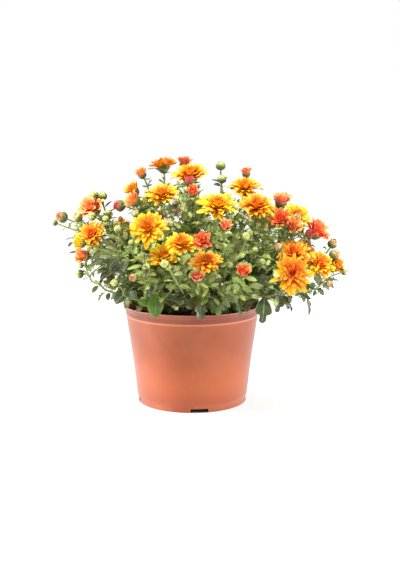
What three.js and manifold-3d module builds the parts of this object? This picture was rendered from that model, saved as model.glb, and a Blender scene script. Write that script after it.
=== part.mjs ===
// A pot chrysanthemum in its plastic nursery pot.
// Millimetres, +Z up, the front is -Y. The origin is the middle of the pot's
// foot, on the surface that the pot stands on.

import * as THREE from 'three';
import { mergeVertices } from 'three/addons/utils/BufferGeometryUtils.js';
import Module from 'manifold-3d';

// ---------------------------------------------------------------- sizes

const GAP = 0.3; // clearance between pieces that touch
const TURN = 2 * Math.PI;
const GOLDEN_ANGLE = THREE.MathUtils.degToRad(137.5);

// Pot: a tapered bucket with a raised bead under its rim band.
const POT_SIDES = 28;
const RIM_RADIUS = 85;
const POT_HEIGHT = 124;
const BEAD_HEIGHT = 110;
const BEAD_RADIUS = 83.2;
const STEP_HEIGHT = 8;
const STEP_RADIUS = 69.2;
const FOOT_RADIUS = 67.7;
const FOOT_WIDTH = 3.2;
const PAD_RADIUS = 22; // flat middle of the underside
const CHANNEL_DEPTH = 3;
const WALL = 1.6;
const FLOOR_TOP = 5.5;
const NOTCH = { count: 4, bearing: 8, width: 22, height: 4.5, depth: 6 };
const DRAIN = { count: 5, radius: 5, ring: 44, sides: 6 };

// Soil: fills the pot to a little below its rim.
const SOIL_EDGE = 113;
const SOIL_MIDDLE = 115;
const SOIL_RELIEF = 1.2;
const STEM_HOLE = { radius: 3, depth: 26 };

// Stems
const MAIN_STEM = { radius: 2.2, sides: 4, steps: 4 };
const COLLAR_HEIGHT = 3; // above the soil, where a main stem starts to lean
const FLOWER_STEM = { radius: 1.3, sides: 3, steps: 3 };
const TWIG = { radius: 1.3, sides: 3, steps: 3 };
const LOWEST_TWIG = 0.3; // shares of the main stem's length
const HIGHEST_TWIG = 0.9;
const LOWEST_BRANCH = 0.42; // share of the main stem's length
const BRANCH_TENSION = 0.33; // of a branch's reach: how long it keeps its first and last direction
const CALYX_HEIGHT = 7;
const OPEN_CALYX = { least: 3.8, share: 0.26 }; // its radius, at least and by the head's radius
const HALF_OPEN_CALYX = 0.5;
const BUD_FORM = [[-0.4, 0.9], [0.4, 0.8], [1, 0]]; // [height, radius] shares of its radius

// Heads: shares of the head's radius.
const OPEN_PETALS = 8;
const OPEN_BLOOM = {
  base: 0.2,
  layers: [
    { tip: [1.0, 0.24], shoulder: [0.8, 0.25], notch: [0.5, 0.15], waist: [0.17, 0.22] },
    { tip: [0.8, 0.5], shoulder: [0.64, 0.44], notch: [0.38, 0.32], waist: [0.13, 0.38] },
    { tip: [0.46, 0.64], notch: [0.24, 0.48] },
  ],
  apex: 0.44,
};
const HALF_PETALS = 6;
const HALF_OPEN_BLOOM = {
  base: 0.42,
  layers: [
    { tip: [1.0, 1.15], shoulder: [0.92, 0.85], notch: [0.76, 0.6], waist: [0.42, 0.62] },
    { tip: [0.62, 1.4], notch: [0.5, 0.95] },
  ],
  apex: 0.8,
};
const SHOULDER_SHARE = 0.3; // of the angle between petals, to each side of a petal's middle
const PETAL_VARIATION = 0.07;
const OPEN_MIDDLE = 0.3; // height of a head's middle over its base, by its radius
const HALF_OPEN_MIDDLE = 0.6;

// Leaves: [along, across] shares of length and half width, from root to tip.
const SMALL_LEAF = [[0.46, 1.0], [0.66, 0.52]];
const LARGE_LEAF = [[0.32, 0.78], [0.43, 0.5], [0.64, 1.0], [0.76, 0.52]];
const LEAF_THICKNESS = 1.6;
const LEAF_RIDGE = 0.25; // thickest point, as a share of the length
const LEAF_ROOT = 0.5; // depth of the root past the middle of its stem
const LEAF_HALF_WIDTH = 0.32; // of its length
const LEAF_DROOP = 0.22; // of its length, at the tip
const LEAF_SPREAD = 1.05; // radians from its stem's direction
const LEAF_ROOM = 0.5; // kept free around it
const LEAF_FOLD = 0.07; // rise of the lobes, of its length
const LARGE_LEAF_FROM = 41; // longer leaves have two lobes a side
const TWIG_LEAVES = [0.98, 0.86, 0.7, 0.5]; // shares of a twig's length
const LOW_LEAF = 46; // length of the leaves of the lowest and of the highest twigs
const HIGH_LEAF = 36;
const FLOWER_STEM_LEAVES = [0.66];
const FLOWER_STEM_LEAF = 26;

// Where a leaf has no room, it swings round its stem by this angle and shrinks.
const LEAF_TRIES = [[0, 1], [0.9, 1], [-0.9, 1], [1.8, 0.9], [-1.8, 0.9], [2.7, 0.8], [0, 0.7], [1.4, 0.7]];

// Leafy twigs end on this dome, just inside the flowers.
const DOME = { centre: [10, 0, 146], reach: [136, 116, 112], twigs: 30 };
const DOME_TOP = 0.97; // sine of the elevation of the highest and the lowest twig
const DOME_FOOT = -0.12;
const TWIG_SCALES = [1, 0.93, 0.86, 0.78]; // a twig with no room ends inside the dome

const TINTS = {
  yellow: '#f7bd18', gold: '#f9a414', orange: '#f58220',
  red: '#e8432f', pink: '#dd4a5e', coral: '#f0825a',
};

// Each leafy shoot: name, bearing and distance of its foot from the pot's axis,
// and the place of its crown, where its last branches part.
// A bearing is in degrees from the front, positive towards +X.
const SHOOTS = [
  ['left', -75, 34, [-84, -28, 182]],
  ['left_top', -110, 26, [-54, -8, 216]],
  ['front_left', -35, 32, [-42, -68, 172]],
  ['top', -150, 10, [-8, -18, 226]],
  ['front', 5, 34, [0, -86, 160]],
  ['front_right', 35, 33, [38, -80, 166]],
  ['top_right', 60, 12, [42, -24, 208]],
  ['right_front', 65, 34, [82, -50, 166]],
  ['right', 95, 32, [98, -18, 172]],
  ['back_left', -140, 30, [-52, 52, 182]],
  ['back', 175, 30, [6, 76, 186]],
  ['back_right', 130, 30, [68, 52, 176]],
];

// Each flower: shoot, middle of its head x y z, width, bearing and rise in
// degrees of the way it faces, stage, and its petals' tint once they show.
const FLOWERS = [
  ['left', -125, -50, 218, 35, -20, 35, 'open', 'orange'],
  ['left', -130, -72, 207, 13, -60, 5, 'half', 'yellow'],
  ['left', -125, -25, 250, 31, -35, 40, 'half', 'red'],
  ['left', -128, -58, 190, 18, -50, 0, 'half', 'orange'],
  ['left', -163, -10, 234, 15, -80, 25, 'bud'],
  ['left', -169, -20, 228, 9, -85, 20, 'bud'],
  ['left', -137, -40, 167, 10, -80, 0, 'bud'],
  ['left', -110, -20, 264, 11, -30, 60, 'bud'],
  ['left_top', -38, 15, 299, 39, 170, 80, 'open', 'orange'],
  ['left_top', -63, 0, 290, 16, -45, 55, 'half', 'red'],
  ['left_top', -75, -14, 269, 20, -60, 50, 'half', 'orange'],
  ['left_top', -72, -45, 259, 20, -50, 30, 'half', 'red'],
  ['left_top', -89, -35, 250, 11, -80, 10, 'bud'],
  ['left_top', -66, -64, 242, 8, -30, 60, 'bud'],
  ['left_top', -102, -60, 236, 8, -30, 50, 'bud'],
  ['front_left', -48, -125, 231, 40, -5, 15, 'open', 'yellow'],
  ['front_left', -32, -112, 198, 41, -10, 66, 'open', 'gold'],
  ['front_left', -85, -90, 226, 9, -10, 60, 'bud'],
  ['front_left', -90, -85, 163, 9, -20, 20, 'bud'],
  ['front_left', -66, -112, 173, 9, -20, 5, 'bud'],
  ['top', -2, -28, 290, 44, -35, 72, 'open', 'gold'],
  ['top', -10, 30, 303, 19, 0, 84, 'half', 'red'],
  ['top', 2, -78, 271, 14, -15, 55, 'half', 'red'],
  ['top', -2, -60, 283, 11, -20, 60, 'bud'],
  ['top', -34, -72, 265, 40, -10, 62, 'open', 'gold'],
  ['front', -12, -150, 218, 37, 5, 66, 'open', 'gold'],
  ['front', 17, -142, 197, 36, 0, 68, 'open', 'orange'],
  ['front', 15, -150, 222, 19, -5, 20, 'half', 'red'],
  ['front', 7, -150, 178, 14, -10, 25, 'half', 'pink'],
  ['front', -28, -165, 196, 8, -10, 10, 'bud'],
  ['front_right', 39, -125, 233, 16, 10, 30, 'half', 'coral'],
  ['front_right', 59, -138, 187, 18, 5, 35, 'half', 'coral'],
  ['front_right', 62, -120, 221, 9, 0, 30, 'bud'],
  ['top_right', 32, -95, 258, 52, 8, 70, 'open', 'yellow'],
  ['top_right', 65, -25, 275, 41, 10, 72, 'open', 'gold'],
  ['top_right', 68, 8, 289, 15, 10, 84, 'half', 'red'],
  ['top_right', 78, -55, 254, 42, 12, 58, 'open', 'gold'],
  ['top_right', 36, 10, 298, 11, 0, 85, 'bud'],
  ['top_right', 37, -10, 281, 10, 10, 70, 'bud'],
  ['right_front', 118, -68, 200, 38, 0, 55, 'open', 'orange'],
  ['right_front', 116, -115, 177, 49, 5, 12, 'open', 'gold'],
  ['right_front', 105, -62, 236, 23, -40, 35, 'half', 'red'],
  ['right_front', 122, -58, 228, 19, 20, 10, 'half', 'orange'],
  ['right_front', 143, -45, 217, 11, 20, 20, 'bud'],
  ['right_front', 101, -95, 208, 9, -40, 40, 'bud'],
  ['right', 129, -22, 241, 34, 35, 50, 'open', 'yellow'],
  ['right', 112, 2, 258, 24, 15, 75, 'half', 'pink'],
  ['right', 158, -15, 221, 27, 45, 35, 'half', 'red'],
  ['right', 155, -58, 182, 37, 40, 35, 'open', 'gold'],
  ['right', 179, -25, 175, 25, 70, 20, 'half', 'orange'],
  ['right', 176, -5, 201, 11, 50, 60, 'bud'],
  ['right', 177, -28, 192, 12, 70, 40, 'bud'],
  ['right', 163, -72, 160, 8, 40, -10, 'bud'],
  ['back_left', -96, 62, 238, 40, -130, 50, 'open', 'gold'],
  ['back_left', -52, 96, 248, 42, -155, 50, 'open', 'yellow'],
  ['back_left', -86, 112, 196, 44, -145, 25, 'open', 'orange'],
  ['back_left', -140, 42, 208, 24, -110, 35, 'half', 'red'],
  ['back_left', -38, 62, 278, 18, -160, 70, 'half', 'orange'],
  ['back_left', -124, 88, 226, 9, -125, 45, 'bud'],
  ['back', 4, 122, 236, 44, 180, 40, 'open', 'gold'],
  ['back', 36, 74, 266, 40, 165, 64, 'open', 'yellow'],
  ['back', 40, 140, 192, 42, 170, 22, 'open', 'orange'],
  ['back', -26, 142, 204, 22, -170, 25, 'half', 'red'],
  ['back', -8, 82, 272, 10, 180, 60, 'bud'],
  ['back_right', 92, 96, 226, 42, 145, 40, 'open', 'gold'],
  ['back_right', 132, 48, 226, 38, 115, 50, 'open', 'orange'],
  ['back_right', 150, 72, 186, 24, 120, 25, 'half', 'red'],
  ['back_right', 92, 48, 258, 18, 130, 65, 'half', 'coral'],
  ['back_right', 84, 128, 192, 10, 150, 20, 'bud'],
];

// ---------------------------------------------------------------- solids

const wasm = await Module();
wasm.setup();
const { Manifold, Mesh: SolidMesh } = wasm;

/** A seeded random source: the same numbers on every run. */
function seeded(seed) {
  let state = seed;
  return () => {
    state = (state * 1664525 + 1013904223) % 4294967296;
    return state / 4294967296;
  };
}

/** A closed geometry as a solid, with its faces turned outwards. */
function toSolid(geometry) {
  const bare = geometry.clone();
  bare.deleteAttribute('normal');
  bare.deleteAttribute('uv');
  const welded = mergeVertices(bare, 1e-4);
  const faces = [];
  for (let i = 0; i < welded.index.count; i += 3) {
    const [a, b, c] = [0, 1, 2].map((k) => welded.index.getX(i + k));
    if (a !== b && b !== c && c !== a) faces.push(a, b, c);
  }
  const vertProperties = new Float32Array(welded.attributes.position.array);
  const build = (triVerts) => new Manifold(new SolidMesh({ numProp: 3, vertProperties, triVerts }));
  const solid = build(Uint32Array.from(faces));
  return solid.volume() > 0 ? solid : build(Uint32Array.from(faces.reverse()));
}

/** A solid as a geometry for a mesh. */
function toGeometry(solid) {
  const mesh = solid.getMesh();
  const geometry = new THREE.BufferGeometry();
  geometry.setAttribute('position', new THREE.BufferAttribute(mesh.vertProperties, 3));
  geometry.setIndex(new THREE.BufferAttribute(mesh.triVerts, 1));
  return geometry;
}

const joined = (solids) => solids.reduce((whole, solid) => whole.add(solid));

/** A geometry from a list of [x, y, z] points and a flat list of triangle corners. */
function faceted(points, faces) {
  const geometry = new THREE.BufferGeometry();
  geometry.setAttribute('position', new THREE.Float32BufferAttribute(points.flat(), 3));
  geometry.setIndex(faces);
  return geometry;
}

/** A profile of [radius, height] points turned about the Z axis. */
function turned(profile, sides) {
  const points = profile.map(([radius, height]) => new THREE.Vector2(radius, height));
  return new THREE.LatheGeometry(points, sides).rotateX(Math.PI / 2);
}

/**
 * A rod of a few sides along a path of points, with its own radius at each of
 * them. A last radius of 0 ends it in a point.
 */
function rod(path, radii, sides) {
  const points = [];
  const faces = [];
  let side = null;
  path.forEach((point, i) => {
    if (radii[i] === 0) {
      points.push(point.toArray());
      return;
    }
    const ahead = path[Math.min(i + 1, path.length - 1)];
    const axis = ahead.clone().sub(path[Math.max(i - 1, 0)]).normalize();
    side ??= new THREE.Vector3(1, 0, 0).cross(axis).lengthSq() > 0.1
      ? new THREE.Vector3(1, 0, 0) : new THREE.Vector3(0, 1, 0);
    side = side.clone().addScaledVector(axis, -side.dot(axis)).normalize();
    for (let k = 0; k < sides; k += 1) {
      const spoke = side.clone().applyAxisAngle(axis, (TURN * k) / sides);
      points.push(point.clone().addScaledVector(spoke, radii[i]).toArray());
    }
  });
  for (let k = 1; k < sides - 1; k += 1) faces.push(0, k + 1, k);
  for (let i = 1; i < path.length; i += 1) {
    const [low, high] = [(i - 1) * sides, i * sides];
    for (let k = 0; k < sides; k += 1) {
      const next = (k + 1) % sides;
      if (radii[i] === 0) faces.push(low + k, low + next, high);
      else faces.push(low + k, low + next, high + next, low + k, high + next, high + k);
    }
  }
  const last = points.length - sides;
  for (let k = 1; k < sides - 1 && radii.at(-1) > 0; k += 1) faces.push(last, last + k, last + k + 1);
  return toSolid(faceted(points, faces));
}

/** The point and the direction at a share of a path's length. */
function along(path, share) {
  const lengths = path.slice(1).map((point, i) => point.distanceTo(path[i]));
  let left = share * lengths.reduce((sum, length) => sum + length, 0);
  let i = 0;
  while (i < lengths.length - 1 && left > lengths[i]) {
    left -= lengths[i];
    i += 1;
  }
  const axis = path[i + 1].clone().sub(path[i]).normalize();
  return { root: path[i].clone().addScaledVector(axis, Math.min(left, lengths[i])), axis };
}

/** The direction at a bearing and a rise, both in degrees. */
function facing(bearing, rise) {
  const b = THREE.MathUtils.degToRad(bearing);
  const r = THREE.MathUtils.degToRad(rise);
  return new THREE.Vector3(Math.sin(b) * Math.cos(r), -Math.cos(b) * Math.cos(r), Math.sin(r));
}

/** What is already in place, asked before anything else is put there. */
class Thicket {
  constructor() {
    this.items = [];
  }

  put(solid, owner) {
    this.items.push({ solid, owner, box: solid.boundingBox() });
  }

  /** True where the solid touches anything that doesn't belong to the owner left out. */
  touches(solid, ownerLeftOut = null) {
    const box = solid.boundingBox();
    const near = ({ box: other, owner }) => owner !== ownerLeftOut
      && [0, 1, 2].every((k) => box.min[k] < other.max[k] && box.max[k] > other.min[k]);
    return this.items.some((item) => near(item) && !item.solid.intersect(solid).isEmpty());
  }
}

// ---------------------------------------------------------------- pot and soil

function potSolid() {
  const profile = [
    [0, 0], [PAD_RADIUS, 0], [PAD_RADIUS + 2, CHANNEL_DEPTH],
    [FOOT_RADIUS - FOOT_WIDTH - 1, CHANNEL_DEPTH], [FOOT_RADIUS - FOOT_WIDTH, 0], [FOOT_RADIUS, 0],
    [FOOT_RADIUS + 0.3, STEP_HEIGHT - 1], [STEP_RADIUS, STEP_HEIGHT],
    [BEAD_RADIUS - 1.9, BEAD_HEIGHT - 2.4], [BEAD_RADIUS, BEAD_HEIGHT - 0.8],
    [BEAD_RADIUS - 0.6, BEAD_HEIGHT + 1.6],
    [RIM_RADIUS - 1, POT_HEIGHT - 1.6], [RIM_RADIUS, POT_HEIGHT - 1.2], [RIM_RADIUS, POT_HEIGHT],
    [RIM_RADIUS - WALL, POT_HEIGHT], [STEP_RADIUS - WALL, FLOOR_TOP], [0, FLOOR_TOP],
  ];
  let pot = toSolid(turned(profile, POT_SIDES));
  for (let i = 0; i < NOTCH.count; i += 1) {
    const box = new THREE.BoxGeometry(NOTCH.width, NOTCH.depth, 2 * NOTCH.height);
    box.translate(0, -FOOT_RADIUS, 0);
    box.rotateZ(THREE.MathUtils.degToRad(NOTCH.bearing) + (TURN * i) / NOTCH.count);
    pot = pot.subtract(toSolid(box));
  }
  for (let i = 0; i < DRAIN.count; i += 1) {
    const drill = new THREE.CylinderGeometry(DRAIN.radius, DRAIN.radius, 4 * FLOOR_TOP, DRAIN.sides);
    drill.rotateX(Math.PI / 2).translate(DRAIN.ring, 0, 0).rotateZ((TURN * i) / DRAIN.count);
    pot = pot.subtract(toSolid(drill));
  }
  return pot;
}

/** Inner radius of the pot's wall at a height. */
function innerRadius(height) {
  const share = (height - FLOOR_TOP) / (POT_HEIGHT - FLOOR_TOP);
  return THREE.MathUtils.lerp(STEP_RADIUS, RIM_RADIUS, share) - WALL;
}

function soilSolid(feet) {
  const bottom = FLOOR_TOP + GAP;
  const edge = innerRadius(SOIL_EDGE) - GAP;
  const geometry = turned([
    [0, bottom], [innerRadius(bottom) - GAP, bottom], [edge, SOIL_EDGE],
    [0.6 * edge, SOIL_MIDDLE - 0.6], [0, SOIL_MIDDLE],
  ], POT_SIDES);
  const place = geometry.attributes.position;
  for (let i = 0; i < place.count; i += 1) {
    const [x, y, z] = [place.getX(i), place.getY(i), place.getZ(i)];
    const relief = SOIL_RELIEF * Math.sin(0.16 * x + 1) * Math.cos(0.13 * y);
    if (z > SOIL_EDGE + 0.5) place.setZ(i, z + relief);
  }
  let soil = toSolid(geometry);
  for (const foot of feet) {
    const { radius, depth } = STEM_HOLE;
    const drill = new THREE.CylinderGeometry(radius, radius, 2 * depth, MAIN_STEM.sides);
    drill.rotateX(Math.PI / 2).translate(foot.x, foot.y, SOIL_MIDDLE);
    soil = soil.subtract(toSolid(drill));
  }
  return soil;
}

// ---------------------------------------------------------------- heads

/**
 * A head of petal layers as one closed skin. It runs from the base out along
 * the underside of the lowest layer, back in along its upper side to a waist,
 * out again under the next layer, and closes at the apex. Petals of one layer
 * stand over the notches of the layer below.
 */
function headGeometry(radius, petals, { base, layers, apex }, random) {
  const points = [];
  const faces = [];
  const step = TURN / petals;
  const vary = () => 1 + PETAL_VARIATION * (2 * random() - 1);
  const ring = (share, height, phase) => {
    const first = points.length;
    for (let k = 0; k < petals; k += 1) {
      const angle = (k + phase) * step;
      const reach = share * radius;
      points.push([reach * Math.cos(angle), reach * Math.sin(angle), height * radius]);
    }
    return first;
  };
  const outline = ({ tip, shoulder, notch }, phase) => {
    const first = points.length;
    for (let k = 0; k < petals; k += 1) {
      const size = vary();
      const corner = ([share, height], turn) => {
        const angle = (k + phase + turn) * step;
        const reach = share * size * radius;
        points.push([reach * Math.cos(angle), reach * Math.sin(angle), height * size * radius]);
      };
      corner(notch, -0.5);
      if (shoulder) corner(shoulder, -SHOULDER_SHARE);
      corner(tip, 0);
      if (shoulder) corner(shoulder, SHOULDER_SHARE);
    }
    return first;
  };

  let inner = ring(base, 0, 0);
  for (let k = 1; k < petals - 1; k += 1) faces.push(inner, inner + k + 1, inner + k);
  layers.forEach((layer, level) => {
    const per = layer.shoulder ? 4 : 2; // outline points for each petal
    const mid = per / 2;
    const phase = level / 2;
    const rim = outline(layer, phase);
    const at = (k, j) => rim + ((k * per + j) % (per * petals));
    for (let k = 0; k < petals; k += 1) {
      const next = (k + 1) % petals;
      for (let j = 0; j < per; j += 1) faces.push(inner + k, at(k, j + 1), at(k, j));
      faces.push(inner + k, inner + next, at(k, per));
    }
    if (layer.waist) {
      inner = ring(...layer.waist, phase + 0.5);
      for (let k = 0; k < petals; k += 1) {
        // A waist point lies over the notch that follows petal k.
        const before = inner + ((k + petals - 1) % petals);
        for (let j = 0; j < mid; j += 1) faces.push(before, at(k, j), at(k, j + 1));
        faces.push(before, at(k, mid), inner + k);
        for (let j = mid; j < per; j += 1) faces.push(inner + k, at(k, j), at(k, j + 1));
      }
    } else {
      points.push([0, 0, apex * radius]);
      for (let j = 0; j < per * petals; j += 1) faces.push(points.length - 1, at(0, j), at(0, j + 1));
    }
  });
  return faceted(points, faces);
}

// ---------------------------------------------------------------- leaves

/**
 * A lobed blade with a ridge near its root. Its root is sunk in the stem, grow
 * is the way it points and face is its upper side. A leaf with spare room
 * around it, free of its stem, serves to ask if there is space for it.
 */
function leafSolid(root, grow, face, length, spare = 0) {
  const half = length > LARGE_LEAF_FROM ? LARGE_LEAF : SMALL_LEAF;
  const width = LEAF_HALF_WIDTH * length + spare;
  const thick = LEAF_THICKNESS / 2 + spare;
  const start = spare > 0 ? 0.16 * length : -LEAF_ROOT;
  const drop = (share) => -LEAF_DROOP * length * share * share;
  const corner = ([share, across], way) => [
    share * length, way * across * width, drop(share) + LEAF_FOLD * length * across,
  ];
  const points = [
    [LEAF_RIDGE * length, 0, drop(LEAF_RIDGE) + thick],
    [LEAF_RIDGE * length, 0, drop(LEAF_RIDGE) - thick],
    [start, 0, 0],
    ...half.map((share) => corner(share, 1)),
    [length + spare, 0, drop(1)],
    ...half.map((share) => corner(share, -1)).reverse(),
  ];
  const faces = [];
  for (let i = 2; i < points.length; i += 1) {
    const next = i + 1 < points.length ? i + 1 : 2;
    faces.push(0, next, i, 1, i, next);
  }
  const across = new THREE.Vector3().crossVectors(face, grow).normalize();
  const up = new THREE.Vector3().crossVectors(grow, across).normalize();
  const frame = new THREE.Matrix4().makeBasis(grow, across, up).setPosition(root);
  return toSolid(faceted(points, faces).applyMatrix4(frame));
}

/** Puts a leaf on a stem where there is room, and returns it, or null. */
function tryLeaf(thicket, shoot, root, axis, angle, length) {
  const side = new THREE.Vector3(0, 0, 1).cross(axis).normalize().applyAxisAngle(axis, angle);
  const grow = side.multiplyScalar(Math.sin(LEAF_SPREAD)).addScaledVector(axis, Math.cos(LEAF_SPREAD));
  const face = new THREE.Vector3(0, 0, 0.5).add(axis);
  const probe = leafSolid(root, grow, face, length, LEAF_ROOM);
  if (thicket.touches(probe)) return null;
  const leaf = leafSolid(root, grow, face, length);
  return thicket.touches(leaf, shoot) ? null : leaf;
}

/** Leaves at the given shares of a stem's length, each turned by the golden angle. */
function leavesAlong(thicket, shoot, path, shares, length, random) {
  const leaves = [];
  let turn = TURN * random();
  for (const share of shares) {
    const { root, axis } = along(path, share);
    turn += GOLDEN_ANGLE;
    for (const [swing, scale] of LEAF_TRIES) {
      const leaf = tryLeaf(thicket, shoot, root, axis, turn + swing, length * scale);
      if (leaf) {
        leaves.push(leaf);
        thicket.put(leaf, shoot);
        break;
      }
    }
  }
  return leaves;
}

// ---------------------------------------------------------------- the plant

const random = seeded(20261124);
const thicket = new Thicket();
const plant = new THREE.Group();

function addMesh(name, geometry, color, roughness) {
  const mesh = new THREE.Mesh(geometry, new THREE.MeshStandardMaterial({ color, roughness, metalness: 0 }));
  mesh.name = name;
  plant.add(mesh);
  return mesh;
}

const shoots = SHOOTS.map(([name, bearing, distance, crown]) => {
  const foot = facing(bearing, 0).multiplyScalar(distance).setZ(SOIL_MIDDLE - STEM_HOLE.depth + GAP);
  const collar = foot.clone().setZ(SOIL_MIDDLE + COLLAR_HEIGHT);
  const top = new THREE.Vector3(...crown);
  const rise = collar.clone().setZ(THREE.MathUtils.lerp(collar.z, top.z, 0.4));
  const lean = collar.clone().lerp(top, 0.7).add(new THREE.Vector3(0, 0, 6));
  const curve = new THREE.CubicBezierCurve3(collar, rise, lean, top);
  const path = [foot, ...curve.getSpacedPoints(MAIN_STEM.steps)];
  return { name, foot, top, path, solids: [] };
});
const shootNamed = (name) => shoots.find((shoot) => shoot.name === name);

const pot = potSolid();
const soil = soilSolid(shoots.map((shoot) => shoot.foot));
thicket.put(pot, 'pot');
thicket.put(soil, 'soil');
addMesh('pot', toGeometry(pot), '#bf6a4c', 0.45);
addMesh('soil', toGeometry(soil), '#2c211a', 0.95);

for (const shoot of shoots) {
  const stem = rod(shoot.path, shoot.path.map(() => MAIN_STEM.radius), MAIN_STEM.sides);
  shoot.solids.push(stem);
  thicket.put(stem, shoot.name);
}

/** The path of a branch from a share of a shoot's main stem to its end. */
function branchPath(shoot, end, direction, share, steps) {
  const { root, axis } = along(shoot.path, share);
  const reach = root.distanceTo(end);
  const away = end.clone().sub(root).normalize().add(axis).normalize();
  const out = root.clone().addScaledVector(away, BRANCH_TENSION * reach);
  const into = end.clone().addScaledVector(direction, -BRANCH_TENSION * reach);
  return new THREE.CubicBezierCurve3(root, out, into, end).getSpacedPoints(steps);
}

// The head of a flower is a piece of its own. Its stem, with the calyx that it sits
// on, belongs to the shoot, and so does a bud that is still closed.
const flowers = FLOWERS.map(([shootName, x, y, z, width, bearing, rise, stage, tint]) => ({
  shoot: shootNamed(shootName), middle: new THREE.Vector3(x, y, z), radius: width / 2,
  direction: facing(bearing, rise), stage, tint,
}));

const counts = {};
for (const flower of flowers.filter(({ stage }) => stage !== 'bud')) {
  const open = flower.stage === 'open';
  const [title, petals, form, lift] = open
    ? ['bloom', OPEN_PETALS, OPEN_BLOOM, OPEN_MIDDLE]
    : ['half_open', HALF_PETALS, HALF_OPEN_BLOOM, HALF_OPEN_MIDDLE];
  const group = `${title}_${flower.shoot.name}`;
  counts[group] = (counts[group] ?? 0) + 1;
  flower.base = flower.middle.clone().addScaledVector(flower.direction, -lift * flower.radius);
  flower.calyx = open
    ? Math.max(OPEN_CALYX.least, OPEN_CALYX.share * flower.radius)
    : HALF_OPEN_CALYX * flower.radius;
  const head = addMesh(`${group}_${counts[group]}`,
    headGeometry(flower.radius, petals, form, random), TINTS[flower.tint], 0.6);
  head.position.copy(flower.base);
  head.quaternion.setFromUnitVectors(new THREE.Vector3(0, 0, 1), flower.direction);
  head.updateMatrix();
  thicket.put(toSolid(head.geometry).transform(head.matrix.elements), head.name);
}

for (const shoot of shoots) {
  const own = flowers.filter((flower) => flower.shoot === shoot);
  own.sort((a, b) => a.middle.z - b.middle.z);
  own.forEach((flower, rank) => {
    const share = THREE.MathUtils.lerp(LOWEST_BRANCH, 1, own.length > 1 ? rank / (own.length - 1) : 1);
    const { middle, direction, radius } = flower;
    const off = (point, distance) => point.clone().addScaledVector(direction, distance);
    const bud = flower.stage === 'bud';
    const end = bud ? off(middle, -radius) : off(flower.base, -CALYX_HEIGHT - GAP);
    flower.path = branchPath(shoot, end, direction, share, FLOWER_STEM.steps);
    const top = bud
      ? BUD_FORM.map(([height, girth]) => [off(middle, height * radius), girth * radius])
      : [[off(flower.base, -GAP), flower.calyx]];
    const stem = rod([...flower.path, ...top.map(([point]) => point)],
      [...flower.path.map(() => FLOWER_STEM.radius), ...top.map(([, girth]) => girth)],
      FLOWER_STEM.sides);
    shoot.solids.push(stem);
    thicket.put(stem, shoot.name);
  });
}

// Leafy twigs, spread evenly over the dome from its top to its foot.
const domeCentre = new THREE.Vector3(...DOME.centre);
for (let i = 0; i < DOME.twigs; i += 1) {
  const sine = THREE.MathUtils.lerp(DOME_TOP, DOME_FOOT, (i + 0.5) / DOME.twigs);
  const level = Math.sqrt(1 - sine * sine);
  const way = new THREE.Vector3(level * Math.sin(i * GOLDEN_ANGLE), level * Math.cos(i * GOLDEN_ANGLE), sine);
  const towards = ({ top }) => top.clone().sub(domeCentre).normalize().dot(way);
  const shoot = shoots.reduce((best, other) => (towards(other) > towards(best) ? other : best));
  const length = THREE.MathUtils.lerp(LOW_LEAF, HIGH_LEAF, Math.max(0, sine));
  for (const scale of TWIG_SCALES) {
    const end = way.clone().multiply(new THREE.Vector3(...DOME.reach)).multiplyScalar(scale).add(domeCentre);
    const share = THREE.MathUtils.lerp(LOWEST_TWIG, HIGHEST_TWIG, Math.max(0, sine));
    const path = branchPath(shoot, end, way, share, TWIG.steps);
    const twig = rod(path, path.map(() => TWIG.radius), TWIG.sides);
    if (!thicket.touches(twig, shoot.name)) {
      thicket.put(twig, shoot.name);
      shoot.solids.push(twig, ...leavesAlong(thicket, shoot.name, path, TWIG_LEAVES, length, random));
      break;
    }
  }
}
for (const { shoot, path, stage } of flowers) {
  const shares = stage === 'open' ? FLOWER_STEM_LEAVES : [];
  shoot.solids.push(...leavesAlong(thicket, shoot.name, path, shares, FLOWER_STEM_LEAF, random));
}

for (const shoot of shoots) {
  addMesh(`shoot_${shoot.name}`, toGeometry(joined(shoot.solids)), '#6f8047', 0.7);
}

export default plant;
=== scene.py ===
"""A pot chrysanthemum in its plastic nursery pot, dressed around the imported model.

Lengths are metres and places are in the model's own frame: +Z up, the front is -Y, and the origin is the
middle of the pot's foot. Tables of places are in whole millimetres.
"""

import logging
import math
from collections.abc import Mapping, Sequence
from dataclasses import dataclass, field, fields, replace
from enum import Enum
from typing import NamedTuple

import bpy
import numpy as np
from numpy.typing import NDArray
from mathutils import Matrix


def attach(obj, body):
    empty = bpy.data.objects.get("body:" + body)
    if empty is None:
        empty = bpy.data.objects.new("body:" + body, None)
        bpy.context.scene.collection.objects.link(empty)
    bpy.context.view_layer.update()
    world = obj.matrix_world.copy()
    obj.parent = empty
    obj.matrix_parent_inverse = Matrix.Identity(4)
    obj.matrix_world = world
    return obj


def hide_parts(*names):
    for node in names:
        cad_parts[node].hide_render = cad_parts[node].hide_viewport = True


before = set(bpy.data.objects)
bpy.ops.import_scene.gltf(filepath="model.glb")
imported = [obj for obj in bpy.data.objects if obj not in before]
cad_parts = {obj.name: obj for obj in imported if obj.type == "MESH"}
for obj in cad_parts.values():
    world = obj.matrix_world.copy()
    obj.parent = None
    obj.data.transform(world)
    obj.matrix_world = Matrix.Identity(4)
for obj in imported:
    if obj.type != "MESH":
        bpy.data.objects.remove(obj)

Array = NDArray[np.float64]
Faces = NDArray[np.int64]
Colour = tuple[float, float, float, float]
Pair = tuple[float, float]
Triple = tuple[float, float, float]
Rng = np.random.Generator
Material = bpy.types.Material

LOG = logging.getLogger("pot_chrysanthemum")
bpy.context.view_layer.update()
BODY = "root"
MM = 0.001
TURN = 2 * math.pi
GOLDEN_ANGLE = math.radians(137.5)
SEED = 20261124
UP = np.array([0.0, 0.0, 1.0])


# ---------------- small maths


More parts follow.
